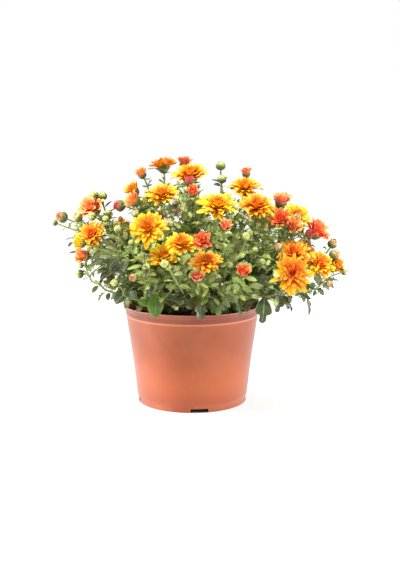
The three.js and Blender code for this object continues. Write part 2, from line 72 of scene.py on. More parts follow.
def srgb(red: int, green: int, blue: int) -> Colour:
    """The linear colour of an 8-bit display colour."""
    shares = (red / 255, green / 255, blue / 255)
    linear = [s / 12.92 if s <= 0.04045 else ((s + 0.055) / 1.055) ** 2.4 for s in shares]
    return (linear[0], linear[1], linear[2], 1.0)


def unit(vectors: Array) -> Array:
    """The vectors, each at length 1."""
    return vectors / np.maximum(np.linalg.norm(vectors, axis=-1, keepdims=True), 1e-12)


def heading(bearing: float, rise: float) -> Array:
    """The direction at a bearing from the front, positive towards +X, and a rise, both in degrees."""
    b, r = math.radians(bearing), math.radians(rise)
    return np.array([math.sin(b) * math.cos(r), -math.cos(b) * math.cos(r), math.sin(r)])


def bezier(start: Array, first: Array, second: Array, end: Array, steps: int) -> Array:
    """Points along a cubic Bezier curve.

    Args:
        start: Where the curve starts.
        first: The handle that it leaves towards.
        second: The handle that it arrives from.
        end: Where it ends.
        steps: How many stretches it is cut into.

    Returns:
        The steps + 1 points, one to a row.
    """
    t = np.linspace(0, 1, steps + 1)[:, None]
    s = 1 - t
    return s**3 * start + 3 * s**2 * t * first + 3 * s * t**2 * second + t**3 * end


def walk(path: Array, share: float) -> tuple[Array, Array]:
    """The point and the direction at a share of a path's length."""
    steps = np.linalg.norm(np.diff(path, axis=0), axis=1)
    reached = np.concatenate([[0.0], np.cumsum(steps)])
    at = min(max(share, 0.0), 1.0) * reached[-1]
    i = int(np.clip(np.searchsorted(reached, at) - 1, 0, len(steps) - 1))
    axis = (path[i + 1] - path[i]) / steps[i]
    return path[i] + axis * (at - reached[i]), axis


def threaded(places: Array, steps: int) -> Array:
    """A smooth curve through places, with steps stretches from each to the next (Catmull-Rom)."""
    ends = np.vstack([2 * places[0] - places[1], places, 2 * places[-1] - places[-2]])
    t = np.linspace(0, 1, steps, endpoint=False)[:, None]
    parts = []
    for a, b, c, d in zip(ends, ends[1:], ends[2:], ends[3:]):
        parts.append(b + 0.5 * t * (c - a + t * (2 * a - 5 * b + 4 * c - d + t * (3 * (b - c) + d - a))))
    return np.vstack([*parts, places[-1:]])


def frame_towards(direction: Array) -> Array:
    """A turned frame, as columns, whose third axis has the direction."""
    side = np.array([1.0, 0.0, 0.0]) if abs(direction[0]) < 0.8 else np.array([0.0, 1.0, 0.0])
    across = unit(np.cross(direction, side))
    return np.column_stack([np.cross(across, direction), across, direction])


# ---------------- shader maths


class Sock:
    """An output socket that can be used in an expression."""

    def __init__(self, graph: "Graph", socket: bpy.types.NodeSocket) -> None:
        """Wraps a socket of the graph."""
        self.graph = graph
        self.socket = socket

    def _maths(self, operation: str, first: "Value", second: "Value" = 0.0) -> "Sock":
        """A Math node on two values."""
        return self.graph.node("ShaderNodeMath", {"operation": operation}, {"Value": first, "Value_001": second})

    def __add__(self, other: "Value") -> "Sock":
        """self + other."""
        return self._maths("ADD", self, other)

    __radd__ = __add__

    def __sub__(self, other: "Value") -> "Sock":
        """self - other."""
        return self._maths("SUBTRACT", self, other)

    def __rsub__(self, other: "Value") -> "Sock":
        """other - self."""
        return self._maths("SUBTRACT", other, self)

    def __mul__(self, other: "Value") -> "Sock":
        """self * other."""
        return self._maths("MULTIPLY", self, other)

    __rmul__ = __mul__

    def __abs__(self) -> "Sock":
        """The size of the value without its sign."""
        return self._maths("ABSOLUTE", self)

    def wave(self) -> "Sock":
        """A triangle wave from 0 to 0.5 and back, once for each whole number."""
        return self._maths("PINGPONG", self, 0.5)


Value = float | Sock


class Graph:
    """The nodes of one material."""

    def __init__(self, name: str, **constants: float) -> None:
        """Starts a material.

        Args:
            name: The material's name.
            constants: What is the same all over, by the shader's socket name with _ for each space.
        """
        self.material = bpy.data.materials.new(name)
        self.material.use_nodes = True
        self.tree = self.material.node_tree
        self.shader = self.tree.nodes["Principled BSDF"]
        for key, value in constants.items():
            self.shader.inputs[key.replace("_", " ")].default_value = value

    def node(
        self, kind: str, settings: Mapping[str, object] | None = None,
        sockets: Mapping[str, object] | None = None, output: str | int = 0,
    ) -> Sock:
        """Adds a node.

        Args:
            kind: The node's type.
            settings: Its properties, set before its sockets.
            sockets: A number, a colour or a link for each input, by identifier or name.
            output: The output to hand back.

        Returns:
            The chosen output.
        """
        node = self.tree.nodes.new(kind)
        for key, value in (settings or {}).items():
            setattr(node, key, value)
        for key, value in (sockets or {}).items():
            self._feed(next(s for s in node.inputs if key in (s.identifier, s.name)), value)
        if isinstance(output, int):
            return Sock(self, node.outputs[output])
        return Sock(self, next(s for s in node.outputs if output in (s.identifier, s.name)))

    def _feed(self, target: bpy.types.NodeSocket, value: object) -> None:
        """Links or sets an input."""
        if isinstance(value, Sock):
            self.tree.links.new(value.socket, target)
        else:
            target.default_value = value

    def carried(self, *names: str) -> list[Sock]:
        """The numbers of some names that the mesh carries."""
        return [self.node("ShaderNodeAttribute", {"attribute_name": name}, output="Fac") for name in names]

    def place(self) -> Sock:
        """The place on the piece, in metres."""
        return self.node("ShaderNodeTexCoord", output="Object")

    def vector(self, x: Value, y: Value, z: Value) -> Sock:
        """Three values as one vector."""
        return self.node("ShaderNodeCombineXYZ", sockets={"X": x, "Y": y, "Z": z})

    def stretched(self, scale: Triple) -> Sock:
        """The place on the piece, scaled on each axis."""
        return self.node("ShaderNodeVectorMath", {"operation": "MULTIPLY"},
                         {"Vector": self.place(), "Vector_001": scale})

    def length(self, vector: Sock) -> Sock:
        """The length of a vector."""
        return self.node("ShaderNodeVectorMath", {"operation": "LENGTH"}, {"Vector": vector}, "Value")

    def noise(self, vector: Sock, scale: float, detail: float = 2.0, roughness: float = 0.5) -> Sock:
        """Noise from 0 to 1."""
        return self.node("ShaderNodeTexNoise", None,
                         {"Vector": vector, "Scale": scale, "Detail": detail, "Roughness": roughness}, "Fac")

    def step(self, value: Sock, low: float, high: float, to: Pair = (0.0, 1.0)) -> Sock:
        """A smooth step from one number to another between two thresholds."""
        return self.node("ShaderNodeMapRange", {"interpolation_type": "SMOOTHSTEP"},
                         {"Value": value, "From Min": low, "From Max": high, "To Min": to[0], "To Max": to[1]})

    def mix(self, share: Value, low: object, high: object) -> Sock:
        """A mix of two colours."""
        return self.node("ShaderNodeMix", {"data_type": "RGBA"},
                         {"Factor_Float": share, "A_Color": low, "B_Color": high}, "Result_Color")

    def coats(self, ground: object, *coats: tuple[Value, object]) -> Sock:
        """A colour with others laid over it in turn, each by its own share."""
        for share, colour in coats:
            ground = self.mix(share, ground, colour)
        return ground

    def shaded(self, colour: object, hue: Value, saturation: Value, value: Value) -> Sock:
        """A colour with its hue turned from 0.5 and its saturation and brightness scaled."""
        return self.node("ShaderNodeHueSaturation", None,
                         {"Hue": hue, "Saturation": saturation, "Value": value, "Color": colour})

    def bump(self, height: Sock, strength: float, distance: float) -> Sock:
        """A normal from a height."""
        return self.node("ShaderNodeBump", None, {"Height": height, "Strength": strength, "Distance": distance})

    def feed(self, name: str, value: Sock) -> None:
        """Links one of the shader's own sockets."""
        self._feed(self.shader.inputs[name], value)

    def finish(self, colour: Sock, roughness: Sock, normal: Sock | None = None) -> Material:
        """Links the shader and hands the material back."""
        for name, value in {"Base Color": colour, "Roughness": roughness, "Normal": normal}.items():
            if value is not None:
                self.feed(name, value)
        return self.material


# ---------------- finishes


class Tint(Enum):
    """The colour group of a flower or a bud."""

    YELLOW = "yellow"
    GOLD = "gold"
    ORANGE = "orange"
    RED = "red"
    PINK = "pink"
    CORAL = "coral"
    EMBER = "ember"
    GREEN = "green"
    PALE = "pale"


YELLOW, GOLD, ORANGE, RED, PINK, CORAL, EMBER, GREEN, PALE = Tint


@dataclass(frozen=True)
class PotPlastic:
    """Satin terracotta-coloured moulded plastic with faint drag marks and dust. Its colour holds painted light:
    painted shade towards its top and on its rim band, a painted highlight on its bead and lip, and painted shade low
    on its wall and under its foot.
    """

    low: Colour = srgb(197, 91, 38)
    # painted shade: the wall darkens towards this colour at its top, where the plant shades it
    high: Colour = srgb(164, 74, 30)
    # painted shade on the rim band
    rim: Colour = srgb(104, 26, 8)
    # painted highlight on the bead and the lip
    edge: Colour = srgb(228, 136, 100)
    pale: Colour = srgb(226, 138, 88)
    # random dark specks, and painted shade low on the wall
    dull: Colour = srgb(152, 64, 34)
    # painted shade under the foot, seen through the notches
    grime: Colour = srgb(96, 48, 36)
    band_height: float = 0.1125
    bead: Pair = (0.1098, 0.1122)
    lip: Pair = (0.1222, 0.1230)
    foot: Pair = (0.0657, 0.0056)
    blur: float = 0.0006

    def material(self) -> Material:
        """Builds the material."""
        g = Graph("pot_plastic", Specular_IOR_Level=0.42, Coat_Weight=0.1, Coat_Roughness=0.35, Sheen_Weight=0.4,
                  Sheen_Roughness=0.45)
        height = g.node("ShaderNodeSeparateXYZ", None, {"Vector": g.place()}, "Z")
        off_axis = g.length(g.stretched((1.0, 1.0, 0.0)))
        blur, (low, high), (radius, foot) = self.blur, self.bead, self.foot
        band = g.step(height, self.band_height - blur, self.band_height + blur)
        bead = g.step(height, low, low + blur) * g.step(height, high + blur, high)
        below = g.step(off_axis, radius, radius - blur) * g.step(height, foot, foot - blur)
        patches = g.noise(g.place(), 17.0, 3.0)
        drag = g.noise(g.stretched((260.0, 260.0, 7.0)), 1.0, 4.0, 0.6)
        colour = g.coats(
            self.low,
            # painted shade: darker towards the top
            (g.step(height, 0.008, 0.095), self.high),
            # painted shade on the rim band
            (band * 0.75, self.rim),
            # painted highlight on the bead and the lip
            ((bead + g.step(height, *self.lip)) * 0.62, self.edge),
            (g.step(patches, 0.35, 0.7) * 0.16, self.pale),
            (g.step(drag, 0.58, 0.78) * 0.1, self.pale),
            (g.step(g.noise(g.place(), 900.0, 2.0), 0.6, 0.75) * 0.2, self.dull),
            # painted shade: darker towards the foot
            (g.step(height, 0.034, 0.006) * 0.42, self.dull),
            (g.step(height, 0.013, 0.004) * g.step(patches, 0.3, 0.6) * 0.3, self.pale),
            # painted shade inside the foot
            (below * 0.95, self.grime),
        )
        grain = g.noise(g.place(), 1500.0, 2.0) * 0.5 + drag * 0.5
        return g.finish(colour, 0.36 + 0.16 * drag + 0.05 * patches, g.bump(grain, 0.25, 0.0002))


@dataclass(frozen=True)
class DarkSoil:
    """Moist dark peat with paler fibres."""

    dark: Colour = srgb(50, 42, 38)
    middle: Colour = srgb(92, 78, 70)
    fibre: Colour = srgb(142, 122, 104)

    def material(self) -> Material:
        """Builds the material."""
        g = Graph("dark_soil", Specular_IOR_Level=0.25)
        clumps = g.noise(g.place(), 160.0, 5.0, 0.6)
        fibres = g.noise(g.stretched((1500.0, 420.0, 700.0)), 1.0, 2.0)
        colour = g.coats(
            self.dark, (g.step(clumps, 0.35, 0.68), self.middle), (g.step(fibres, 0.66, 0.76) * 0.7, self.fibre),
        )
        grain = clumps * 0.6 + g.noise(g.place(), 900.0, 3.0) * 0.4
        return g.finish(colour, 0.78 + 0.2 * clumps, g.bump(grain, 0.9, 0.0015))


@dataclass(frozen=True)
class LeafGreen:
    """Soft leaves: fresh grey-green ones above, deeper ones below, paler underneath, with lighter veins, and a painted
    highlight that makes a few young ones pale.
    """

    young: Colour = srgb(162, 180, 86)
    # painted highlight: a few young leaves are mixed towards this colour
    pale: Colour = srgb(208, 216, 156)
    old: Colour = srgb(60, 86, 34)
    lush: Colour = srgb(94, 162, 0)
    grey: Colour = srgb(98, 121, 82)
    dusk: Colour = srgb(80, 105, 60)
    under: Colour = srgb(148, 165, 106)
    vein: Colour = srgb(186, 198, 138)
    margin: Colour = srgb(168, 182, 112)
    side_veins: float = 5.0

    def material(self) -> Material:
        """Builds the material."""
        g = Graph("leaf_green", Subsurface_Weight=0.12, Subsurface_Scale=0.002, Specular_IOR_Level=0.5)
        along, across, tone, age, under = g.carried("along", "across", "tone", "age", "under")
        off = abs(across)
        ribs = ((along - off * 0.16) * self.side_veins).wave()
        midrib = g.step(off, 0.12, 0.02)
        grey = g.mix(g.step(age, 0.6, 0.9), self.grey, self.dusk)
        lush = g.mix(g.step(off, 0.4, 0.1) * g.step(along, 0.3, 0.6) * 0.45, self.lush, self.dusk)
        colour = g.coats(
            self.young,
            (g.step(age, 0.1, 0.95), self.old),
            (g.step(g.noise(g.place(), 120.0, 3.0), 0.4, 0.7) * 0.45, grey),
            # painted highlight: a few young leaves made pale
            (g.step(tone, 0.72, 0.95) * g.step(age, 0.85, 0.2) * 0.8, self.pale),
            (g.step(age, 1.3, 1.6), lush),
            (g.step(ribs, 0.07, 0.0) * g.step(off, 0.95, 0.3) * 0.32, self.vein),
            (midrib * 0.6, self.vein),
            (g.step(off, 0.72, 1.0) * g.step(age, 1.0, 0.2) * 0.5, self.margin),
            (g.step(off, 0.84, 0.98) * g.step(age, 0.7, 0.95) * 0.6, self.margin),
            (under * 0.7, self.under),
        )
        colour = g.shaded(colour, 0.485 + 0.03 * tone, 0.9 + 0.25 * tone, 0.45 + 1.0 * tone)
        relief = g.step(ribs, 0.16, 0.0) * 0.5 + midrib + g.noise(g.place(), 700.0, 2.0) * 0.5
        rough = g.step(age, 0.3, 0.8, (0.27, 0.36)) + g.step(age, 0.82, 0.96) * 0.14
        return g.finish(colour, rough + 0.14 * tone, g.bump(relief, 0.35, 0.0005))


@dataclass(frozen=True)
class StemGreen:
    """Ribbed pale green stems, browner low down."""

    fresh: Colour = srgb(146, 160, 92)
    old: Colour = srgb(110, 104, 66)
    shade: Colour = srgb(96, 112, 62)

    def material(self) -> Material:
        """Builds the material."""
        g = Graph("stem_green", Specular_IOR_Level=0.4)
        across, age = g.carried("across", "age")
        ridges = (across * 5.0).wave()
        colour = g.coats(
            self.fresh,
            (g.step(age, 0.35, 1.0), self.old),
            (g.step(g.noise(g.place(), 210.0, 3.0), 0.42, 0.68) * 0.55, self.shade),
            (g.step(ridges, 0.2, 0.0) * 0.3, self.shade),
        )
        return g.finish(colour, 0.5 + 0.2 * ridges, g.bump(ridges, 0.4, 0.0003))


@dataclass(frozen=True)
class CalyxScale:
    """Overlapping green scales with a thin papery margin."""

    body: Colour = srgb(66, 84, 36)
    tip: Colour = srgb(116, 130, 60)
    margin: Colour = srgb(180, 184, 120)

    def material(self) -> Material:
        """Builds the material."""
        g = Graph("calyx_scale", Specular_IOR_Level=0.4)
        along, across, tone = g.carried("along", "across", "tone")
        off = abs(across)
        colour = g.coats(
            self.body, (g.step(along, 0.2, 0.95), self.tip), (g.step(off, 0.6, 1.0) * 0.7, self.margin),
        )
        colour = g.shaded(colour, 0.5, 1.0, 0.8 + 0.4 * tone)
        grain = g.noise(g.vector(along * 2.0, off * 9.0, tone * 40.0), 3.0)
        return g.finish(colour, 0.45 + 0.15 * grain, g.bump(grain, 0.3, 0.0003))


@dataclass(frozen=True)
class BudPetal:
    """Petals still folded in a bud: green-cream in a young one, coral to pink in an old one, with painted shade along
    their creases and towards their foot, and a deep red darkened as painted shade where their tips meet.
    """

    green: Colour = srgb(216, 218, 134)
    cream: Colour = srgb(240, 222, 164)
    coral: Colour = srgb(240, 148, 92)
    pink: Colour = srgb(228, 72, 82)
    # painted shade along the folds' edges and towards their foot
    crease: Colour = srgb(104, 114, 50)
    # deep red at the folds' tips, darkened as painted shade where they meet
    heart: Colour = srgb(168, 44, 44)

    def material(self) -> Material:
        """Builds the material."""
        g = Graph("bud_petal", Subsurface_Weight=0.15, Subsurface_Scale=0.002, Specular_IOR_Level=0.4)
        along, across, tone, age = g.carried("along", "across", "tone", "age")
        off = abs(across)
        colour = g.coats(
            self.green,
            (g.step(age, 0.1, 0.35), self.cream),
            (g.step(age, 0.4, 0.7), self.coral),
            (g.step(age, 0.75, 1.0), self.pink),
            # painted shade along the folds' edges and towards their foot
            (g.step(off, 0.5, 1.0) * 0.75, self.crease),
            (g.step(along, 0.5, 0.0) * 0.4, self.crease),
            # deep red at the folds' tips, darkened as painted shade where they meet
            (g.step(along, 0.8, 1.0) * g.step(age, 0.3, 0.5) * 0.5, self.heart),
        )
        colour = g.shaded(colour, 0.49 + 0.02 * tone, 1.0, 0.78 + 0.4 * tone)
        lines = g.noise(g.vector(along, off * 6.0, tone * 30.0), 3.0)
        return g.finish(colour, 0.5 + 0.1 * lines, g.bump(lines, 0.3, 0.0002))


@dataclass(frozen=True)
class EyeFloret:
    """The small tube florets of an open eye: olive at their foot, yellow at their lip."""

    foot: Colour = srgb(92, 92, 20)
    lip: Colour = srgb(214, 158, 30)

    def material(self) -> Material:
        """Builds the material."""
        g = Graph("eye_floret", Specular_IOR_Level=0.2)
        along, tone = g.carried("along", "tone")
        colour = g.shaded(g.mix(g.step(along, 0.35, 1.0), self.foot, self.lip), 0.5, 1.0, 0.7 + 0.5 * tone)
        grain = g.noise(g.vector(along * 3.0, tone * 20.0, 0.0), 4.0)
        return g.finish(colour, 0.5 + 0.2 * grain, g.bump(grain, 0.3, 0.0002))


@dataclass(frozen=True)
class PetalSilk:
    """Petals that run from a deep root to a bright tip, deeper near the head's middle and underneath."""

    tint: Tint
    root: Colour
    middle: Colour
    tip: Colour
    under: Colour
    heart: Colour
    foot: Colour
    tip_from: float
    heart_reach: float

    def material(self) -> Material:
        """Builds the material."""
        g = Graph(f"petal_silk_{self.tint.value}", Subsurface_Weight=0.15, Subsurface_Scale=0.002,
                  Specular_IOR_Level=0.2)
        along, across, tone, age, under = g.carried("along", "across", "tone", "age", "under")
        lines = g.noise(g.vector(along * 0.6, across * 4.0, tone * 50.0), 3.0, 3.0)
        reach = along + (lines - 0.5) * 0.35 + (tone - 0.5) * 0.3
        colour = g.coats(
            self.root,
            (g.step(reach, 0.0, self.tip_from), self.middle),
            (g.step(reach, self.tip_from - 0.1, self.tip_from + 0.45), self.tip),
            (g.step(abs(across), 0.4, 1.0) * g.step(along, 0.2, 0.7) * 0.5, self.tip),
            (g.step(age, self.heart_reach, self.heart_reach - 0.5) * (1.0 - along * 0.45), self.heart),
            (under * 0.75, g.mix(g.step(along, 0.5, 0.1), self.under, self.foot)),
        )
        colour = g.shaded(colour, 0.494 + 0.012 * tone, 1.0, 0.86 + 0.24 * tone)
        return g.finish(colour, 0.44 + 0.16 * lines, g.bump(lines, 0.35, 0.0003))


# The petals of each tint: the colours of PetalSilk in order, and how far its tip and its heart reach.
PETALS = {
    tint: PetalSilk(tint, *(srgb(*colour) for colour in colours), *reaches)
    for tint, reaches, *colours in (
        (YELLOW, (0.4, 0.78),
         (240, 100, 22), (255, 176, 18), (255, 222, 50), (252, 190, 34), (240, 98, 24), (222, 90, 24)),
        (GOLD, (0.45, 0.85),
         (238, 92, 26), (255, 160, 18), (255, 210, 40), (252, 172, 34), (238, 92, 34), (216, 76, 26)),
        (ORANGE, (0.52, 0.8),
         (233, 84, 30), (254, 142, 26), (255, 194, 46), (250, 156, 42), (236, 94, 38), (216, 78, 30)),
        (RED, (0.6, 0.5),
         (234, 62, 46), (247, 92, 58), (255, 156, 84), (248, 128, 90), (226, 44, 46), (250, 200, 124)),
        (PINK, (0.54, 0.5),
         (230, 54, 78), (246, 102, 100), (255, 192, 118), (250, 150, 128), (220, 36, 68), (252, 220, 184)),
        (CORAL, (0.54, 0.5),
         (238, 82, 52), (252, 130, 70), (255, 192, 108), (250, 156, 104), (234, 62, 52), (252, 212, 150)),
        (EMBER, (0.5, 0.72),
         (230, 60, 34), (253, 140, 22), (255, 198, 40), (248, 148, 34), (222, 44, 40), (214, 66, 26)),
    )
}


# ---------------- mesh making


@dataclass(frozen=True)
class Outline:
    """The half width of a blade along its length, as shares of its greatest one.

    A blade is a thin closed leaf of two skins that meet at its edge. It has as many points across as
    columns says. Its lobes lean towards its tip by lead.
    """

    stations: tuple[float, ...]
    widths: tuple[float, ...]
    columns: int = 3
    lead: float = 0.0


# The waves along a blade's edge, how far apart two blades' waves are, and how strongly lobes bend at their ends.
EDGE_WAVES, WAVE_PHASES, LOBE_BEND = 17, 40, 1.5

PETAL_OUTLINE = Outline(
    (0, 0.12, 0.28, 0.46, 0.64, 0.8, 0.92, 1), (0.34, 0.46, 0.7, 0.9, 1, 0.94, 0.68, 0.16), 4, -0.12,
)
SCALE_OUTLINE = Outline((0, 0.3, 0.6, 0.85, 1), (0.75, 1, 0.85, 0.45, 0.08))
BIG_LEAF_OUTLINE = Outline(
    (0, 0.17, 0.26, 0.32, 0.38, 0.44, 0.48, 0.54, 0.6, 0.66, 0.7, 0.76, 0.83, 0.91, 0.97, 1),
    (0.05, 0.05, 0.14, 0.6, 0.78, 0.66, 0.42, 0.78, 1, 0.86, 0.52, 0.66, 0.68, 0.5, 0.24, 0.08), 5, 0.22,
)
LEAF_OUTLINE = Outline(
    (0, 0.18, 0.28, 0.36, 0.44, 0.49, 0.57, 0.64, 0.7, 0.79, 0.9, 1),
    (0.05, 0.05, 0.3, 0.82, 0.7, 0.34, 0.96, 1, 0.44, 0.66, 0.5, 0.06), 3, 0.3,
)
SMALL_LEAF_OUTLINE = Outline(
    (0, 0.14, 0.32, 0.42, 0.5, 0.62, 0.73, 0.85, 1), (0.07, 0.1, 0.62, 0.86, 0.5, 1, 0.6, 0.56, 0.05), 3, 0.24,
)


class LeafForm(Enum):
    """The outline of a leaf whose place is given."""

    LOBED = BIG_LEAF_OUTLINE
    ROUND = Outline(
        (0, 0.16, 0.25, 0.36, 0.5, 0.65, 0.8, 0.92, 1), (0.06, 0.06, 0.5, 0.82, 1, 0.98, 0.78, 0.46, 0.06), 5,
    )
    SLIM = Outline((0, 0.16, 0.3, 0.5, 0.7, 0.86, 1), (0.1, 0.12, 0.72, 1, 0.86, 0.5, 0.06), 3, 0.1)
    SPADE = Outline(
        (0, 0.14, 0.2, 0.34, 0.5, 0.6, 0.67, 0.72, 0.8, 0.9, 0.97, 1),
        (0.06, 0.07, 0.3, 0.72, 0.96, 1, 0.8, 0.42, 0.4, 0.42, 0.24, 0.05), 5, 0.16,
    )


LOBED, ROUND, SLIM, SPADE = LeafForm


@dataclass
class Blades:
    """Many blades of one outline. Each array has a row for each blade.

    Fields:
        turned: Their frames, as columns: along the blade, to its left, and out of its upper face.
        width: Their greatest half widths.
        rise: The slopes at their root, middle and tip, in degrees from the first axis.
        cup: How far the edges rise over the middle, by the half width.
        sway: How far the tip lies to the left, by the length.
        twist: The turn of the tip about the blade, in radians.
        ripple: The height of the waves along the edges, by the half width.
    """

    root: Array
    turned: Array
    length: Array
    width: Array
    rise: Array
    cup: Array
    sway: Array
    twist: Array
    ripple: Array
    tone: Array
    age: Array

    def picked(self, wanted: Array) -> "Blades":
        """The blades that are wanted."""
        return Blades(**{item.name: getattr(self, item.name)[wanted] for item in fields(self)})


def rod_faces(rings: int, sides: int) -> Faces:
    """The faces of a closed rod of rings of points, whose two end points are listed after them."""
    k = np.arange(sides)
    after = (k + 1) % sides
    low = (np.arange(rings - 1) * sides)[:, None]
    wall = np.stack([low + k, low + after, low + sides + after, low + sides + k], axis=-1).reshape(-1, 4)
    top, foot = (rings - 1) * sides, rings * sides
    caps = [np.stack([np.full(sides, foot), after, k, k], axis=-1),
            np.stack([np.full(sides, foot + 1), top + k, top + after, top + after], axis=-1)]
    return np.concatenate([wall, *caps])


class Piece:
    """One mesh in the making."""

    attributes = ("along", "across", "tone", "age")

    def __init__(self, name: str) -> None:
        """Starts an empty mesh."""
        self.name = name
        self.count = 0
        self.points: list[Array] = []
        self.quads: list[Faces] = []
        self.under: list[Array] = []
        self.finish: list[Array] = []
        self.values: dict[str, list[Array]] = {key: [] for key in self.attributes}

    def add(self, points: Array, quads: Faces, finish: int, under: Array | None = None,
            **values: Array | float) -> None:
        """Adds a shape.

        Args:
            points: Its points, one to a row.
            quads: Its faces, four corners to a row. A triangle has its last corner twice.
            finish: The number of its material.
            under: 1 for each face that is an underside.
            values: What each point carries.
        """
        self.points.append(points)
        self.quads.append(quads + self.count)
        self.under.append(np.zeros(len(quads)) if under is None else under)
        self.finish.append(np.full(len(quads), finish))
        for key in self.attributes:
            self.values[key].append(np.broadcast_to(np.asarray(values.get(key, 0.0), float), (len(points),)))
        self.count += len(points)

    def blades(self, outline: Outline, blades: Blades, thickness: float, finish: int) -> None:
        """Adds thin closed blades.

        Args:
            outline: The outline that they share.
            blades: Their places, sizes and bends.
            thickness: Their thickness in the middle.
            finish: The number of their material.
        """
        if len(blades.root) == 0:
            return
        u = np.array(outline.stations)
        v = np.linspace(-1, 1, outline.columns)
        a, b, c = (np.radians(blades.rise[:, k, None]) for k in range(3))
        slope = a * (1 - u) * (1 - 2 * u) + 4 * b * u * (1 - u) + c * u * (2 * u - 1)
        middle = (slope[:, 1:] + slope[:, :-1]) / 2
        steps = np.diff(u) * blades.length[:, None]
        zero = np.zeros((len(slope), 1))
        x, z = (np.concatenate([zero, np.cumsum(part(middle) * steps, axis=1)], axis=1)[..., None]
                for part in (np.cos, np.sin))
        half = blades.width[:, None] * np.array(outline.widths)
        wave = np.sin(u * EDGE_WAVES + WAVE_PHASES * blades.tone[:, None])
        wave = wave * blades.ripple[:, None] * blades.width[:, None]
        side = half[..., None] * v
        lift = (blades.cup[:, None] * half)[..., None] * v**2 + wave[..., None] * np.abs(v)
        turn = (blades.twist[:, None] * u)[..., None]
        sway = (blades.sway[:, None] * blades.length[:, None] * u**2)[..., None]
        y = side * np.cos(turn) - lift * np.sin(turn) + sway
        lift = side * np.sin(turn) + lift * np.cos(turn)
        lead = outline.lead * half[..., None] * np.abs(v) ** LOBE_BEND
        cos, sin = np.cos(slope)[..., None], np.sin(slope)[..., None]
        local = np.stack([x + lead * cos - lift * sin, y, z + lead * sin + lift * cos], axis=-1)
        grid = blades.root[:, None, None] + np.einsum("pij,pabj->pabi", blades.turned, local)
        normal = unit(np.cross(np.gradient(grid, axis=1), np.gradient(grid, axis=2)))
        self._skins(grid, normal * thickness / 2, u, v, blades, finish)

    def _skins(self, grid: Array, lift: Array, u: Array, v: Array, blades: Blades, finish: int) -> None:
        """Adds the upper and the lower skin of each blade, which share the points of its edge."""
        many, rows, columns = grid.shape[:3]
        inner = np.zeros((rows, columns, 1))
        inner[1:-1, 1:-1] = 1
        upper = (grid + lift * inner).reshape(many, -1, 3)
        lower = (grid - lift)[:, 1:-1, 1:-1].reshape(many, -1, 3)
        points = np.concatenate([upper, lower], axis=1)
        top = np.arange(rows * columns).reshape(rows, columns)
        bottom = top.copy()
        bottom[1:-1, 1:-1] = rows * columns + np.arange((rows - 2) * (columns - 2)).reshape(rows - 2, columns - 2)
        faces = [
            np.stack([m[:-1, :-1], m[1:, :-1], m[1:, 1:], m[:-1, 1:]], axis=-1).reshape(-1, 4) for m in (top, bottom)
        ]
        one = np.concatenate([faces[0], faces[1][:, ::-1]])
        quads = (one + points.shape[1] * np.arange(many)[:, None, None]).reshape(-1, 4)
        under = np.tile(np.repeat([0.0, 1.0], len(faces[0])), many)
        along, across = (np.broadcast_to(m, (rows, columns)) for m in (u[:, None], v[None, :]))
        along, across = (np.concatenate([m.ravel(), m[1:-1, 1:-1].ravel()]) for m in (along, across))
        tone, age = (np.repeat(m, points.shape[1]) for m in (blades.tone, blades.age))
        self.add(points.reshape(-1, 3), quads, finish, under, along=np.tile(along, many),
                 across=np.tile(across, many), tone=tone, age=age)

    def tube(self, path: Array, radii: Array, sides: int, finish: int, tone: float = 0.5, age: float = 0.0,
             ridges: float = 0.0) -> None:
        """Adds a closed rod along a path.

        Args:
            path: The middle of the rod, one point to a row.
            radii: Its radius at each of them.
            sides: How many sides it has.
            finish: The number of its material.
            tone, age: What the finish reads.
            ridges: How deep every other side is sunk, by the radius.
        """
        axes = unit(np.gradient(path, axis=0))
        side = frame_towards(axes[0])[:, 0]
        spokes = []
        for axis in axes:
            side = unit(side - axis * np.dot(side, axis))
            spokes.append(side)
        spoke = np.array(spokes)[:, None]
        other = np.cross(axes, np.array(spokes))[:, None]
        angle = (TURN * np.arange(sides) / sides)[None, :, None]
        depth = 1 - ridges * (np.arange(sides) % 2)[None, :, None]
        rings = path[:, None] + (spoke * np.cos(angle) + other * np.sin(angle)) * radii[:, None, None] * depth
        along = np.repeat(np.linspace(0, 1, len(path)), sides)
        across = np.tile(np.arange(sides) / sides, len(path))
        self.add(np.concatenate([rings.reshape(-1, 3), path[:1], path[-1:]]), rod_faces(len(path), sides), finish,
                 along=np.append(along, [0, 1]), across=np.append(across, [0, 0]), tone=tone, age=age)

    def make(self, materials: Sequence[Material], node: str, sharp: float = 50.0) -> None:
        """Builds the object, rides it on the part and has it stand for a node.

        Args:
            materials: Its materials, by number.
            node: The node that it stands for.
            sharp: The angle, in degrees, over which an edge stays sharp.
        """
        points = np.concatenate(self.points).astype(np.float32)
        quads = np.concatenate(self.quads).astype(np.int32)
        keep = np.ones(quads.shape, bool)
        keep[:, 3] = quads[:, 2] != quads[:, 3]
        corners = quads[keep]
        sizes = keep.sum(axis=1)
        mesh = bpy.data.meshes.new(self.name)
        mesh.vertices.add(len(points))
        mesh.vertices.foreach_set("co", points.ravel())
        mesh.loops.add(len(corners))
        mesh.loops.foreach_set("vertex_index", corners)
        mesh.polygons.add(len(quads))
        mesh.polygons.foreach_set("loop_start", (np.cumsum(sizes) - sizes).astype(np.int32))
        mesh.polygons.foreach_set("material_index", np.concatenate(self.finish).astype(np.int32))
        mesh.update(calc_edges=True)
        for key, values in {**self.values, "under": self.under}.items():
            layer = mesh.attributes.new(key, "FLOAT", "FACE" if key == "under" else "POINT")
            layer.data.foreach_set("value", np.concatenate(values).astype(np.float32))
        mesh.set_sharp_from_angle(angle=math.radians(sharp))
        settle(self.name, mesh, materials, node)


def link(thing: bpy.types.Object) -> None:
    """Puts an object in the scene."""
    bpy.context.scene.collection.objects.link(thing)


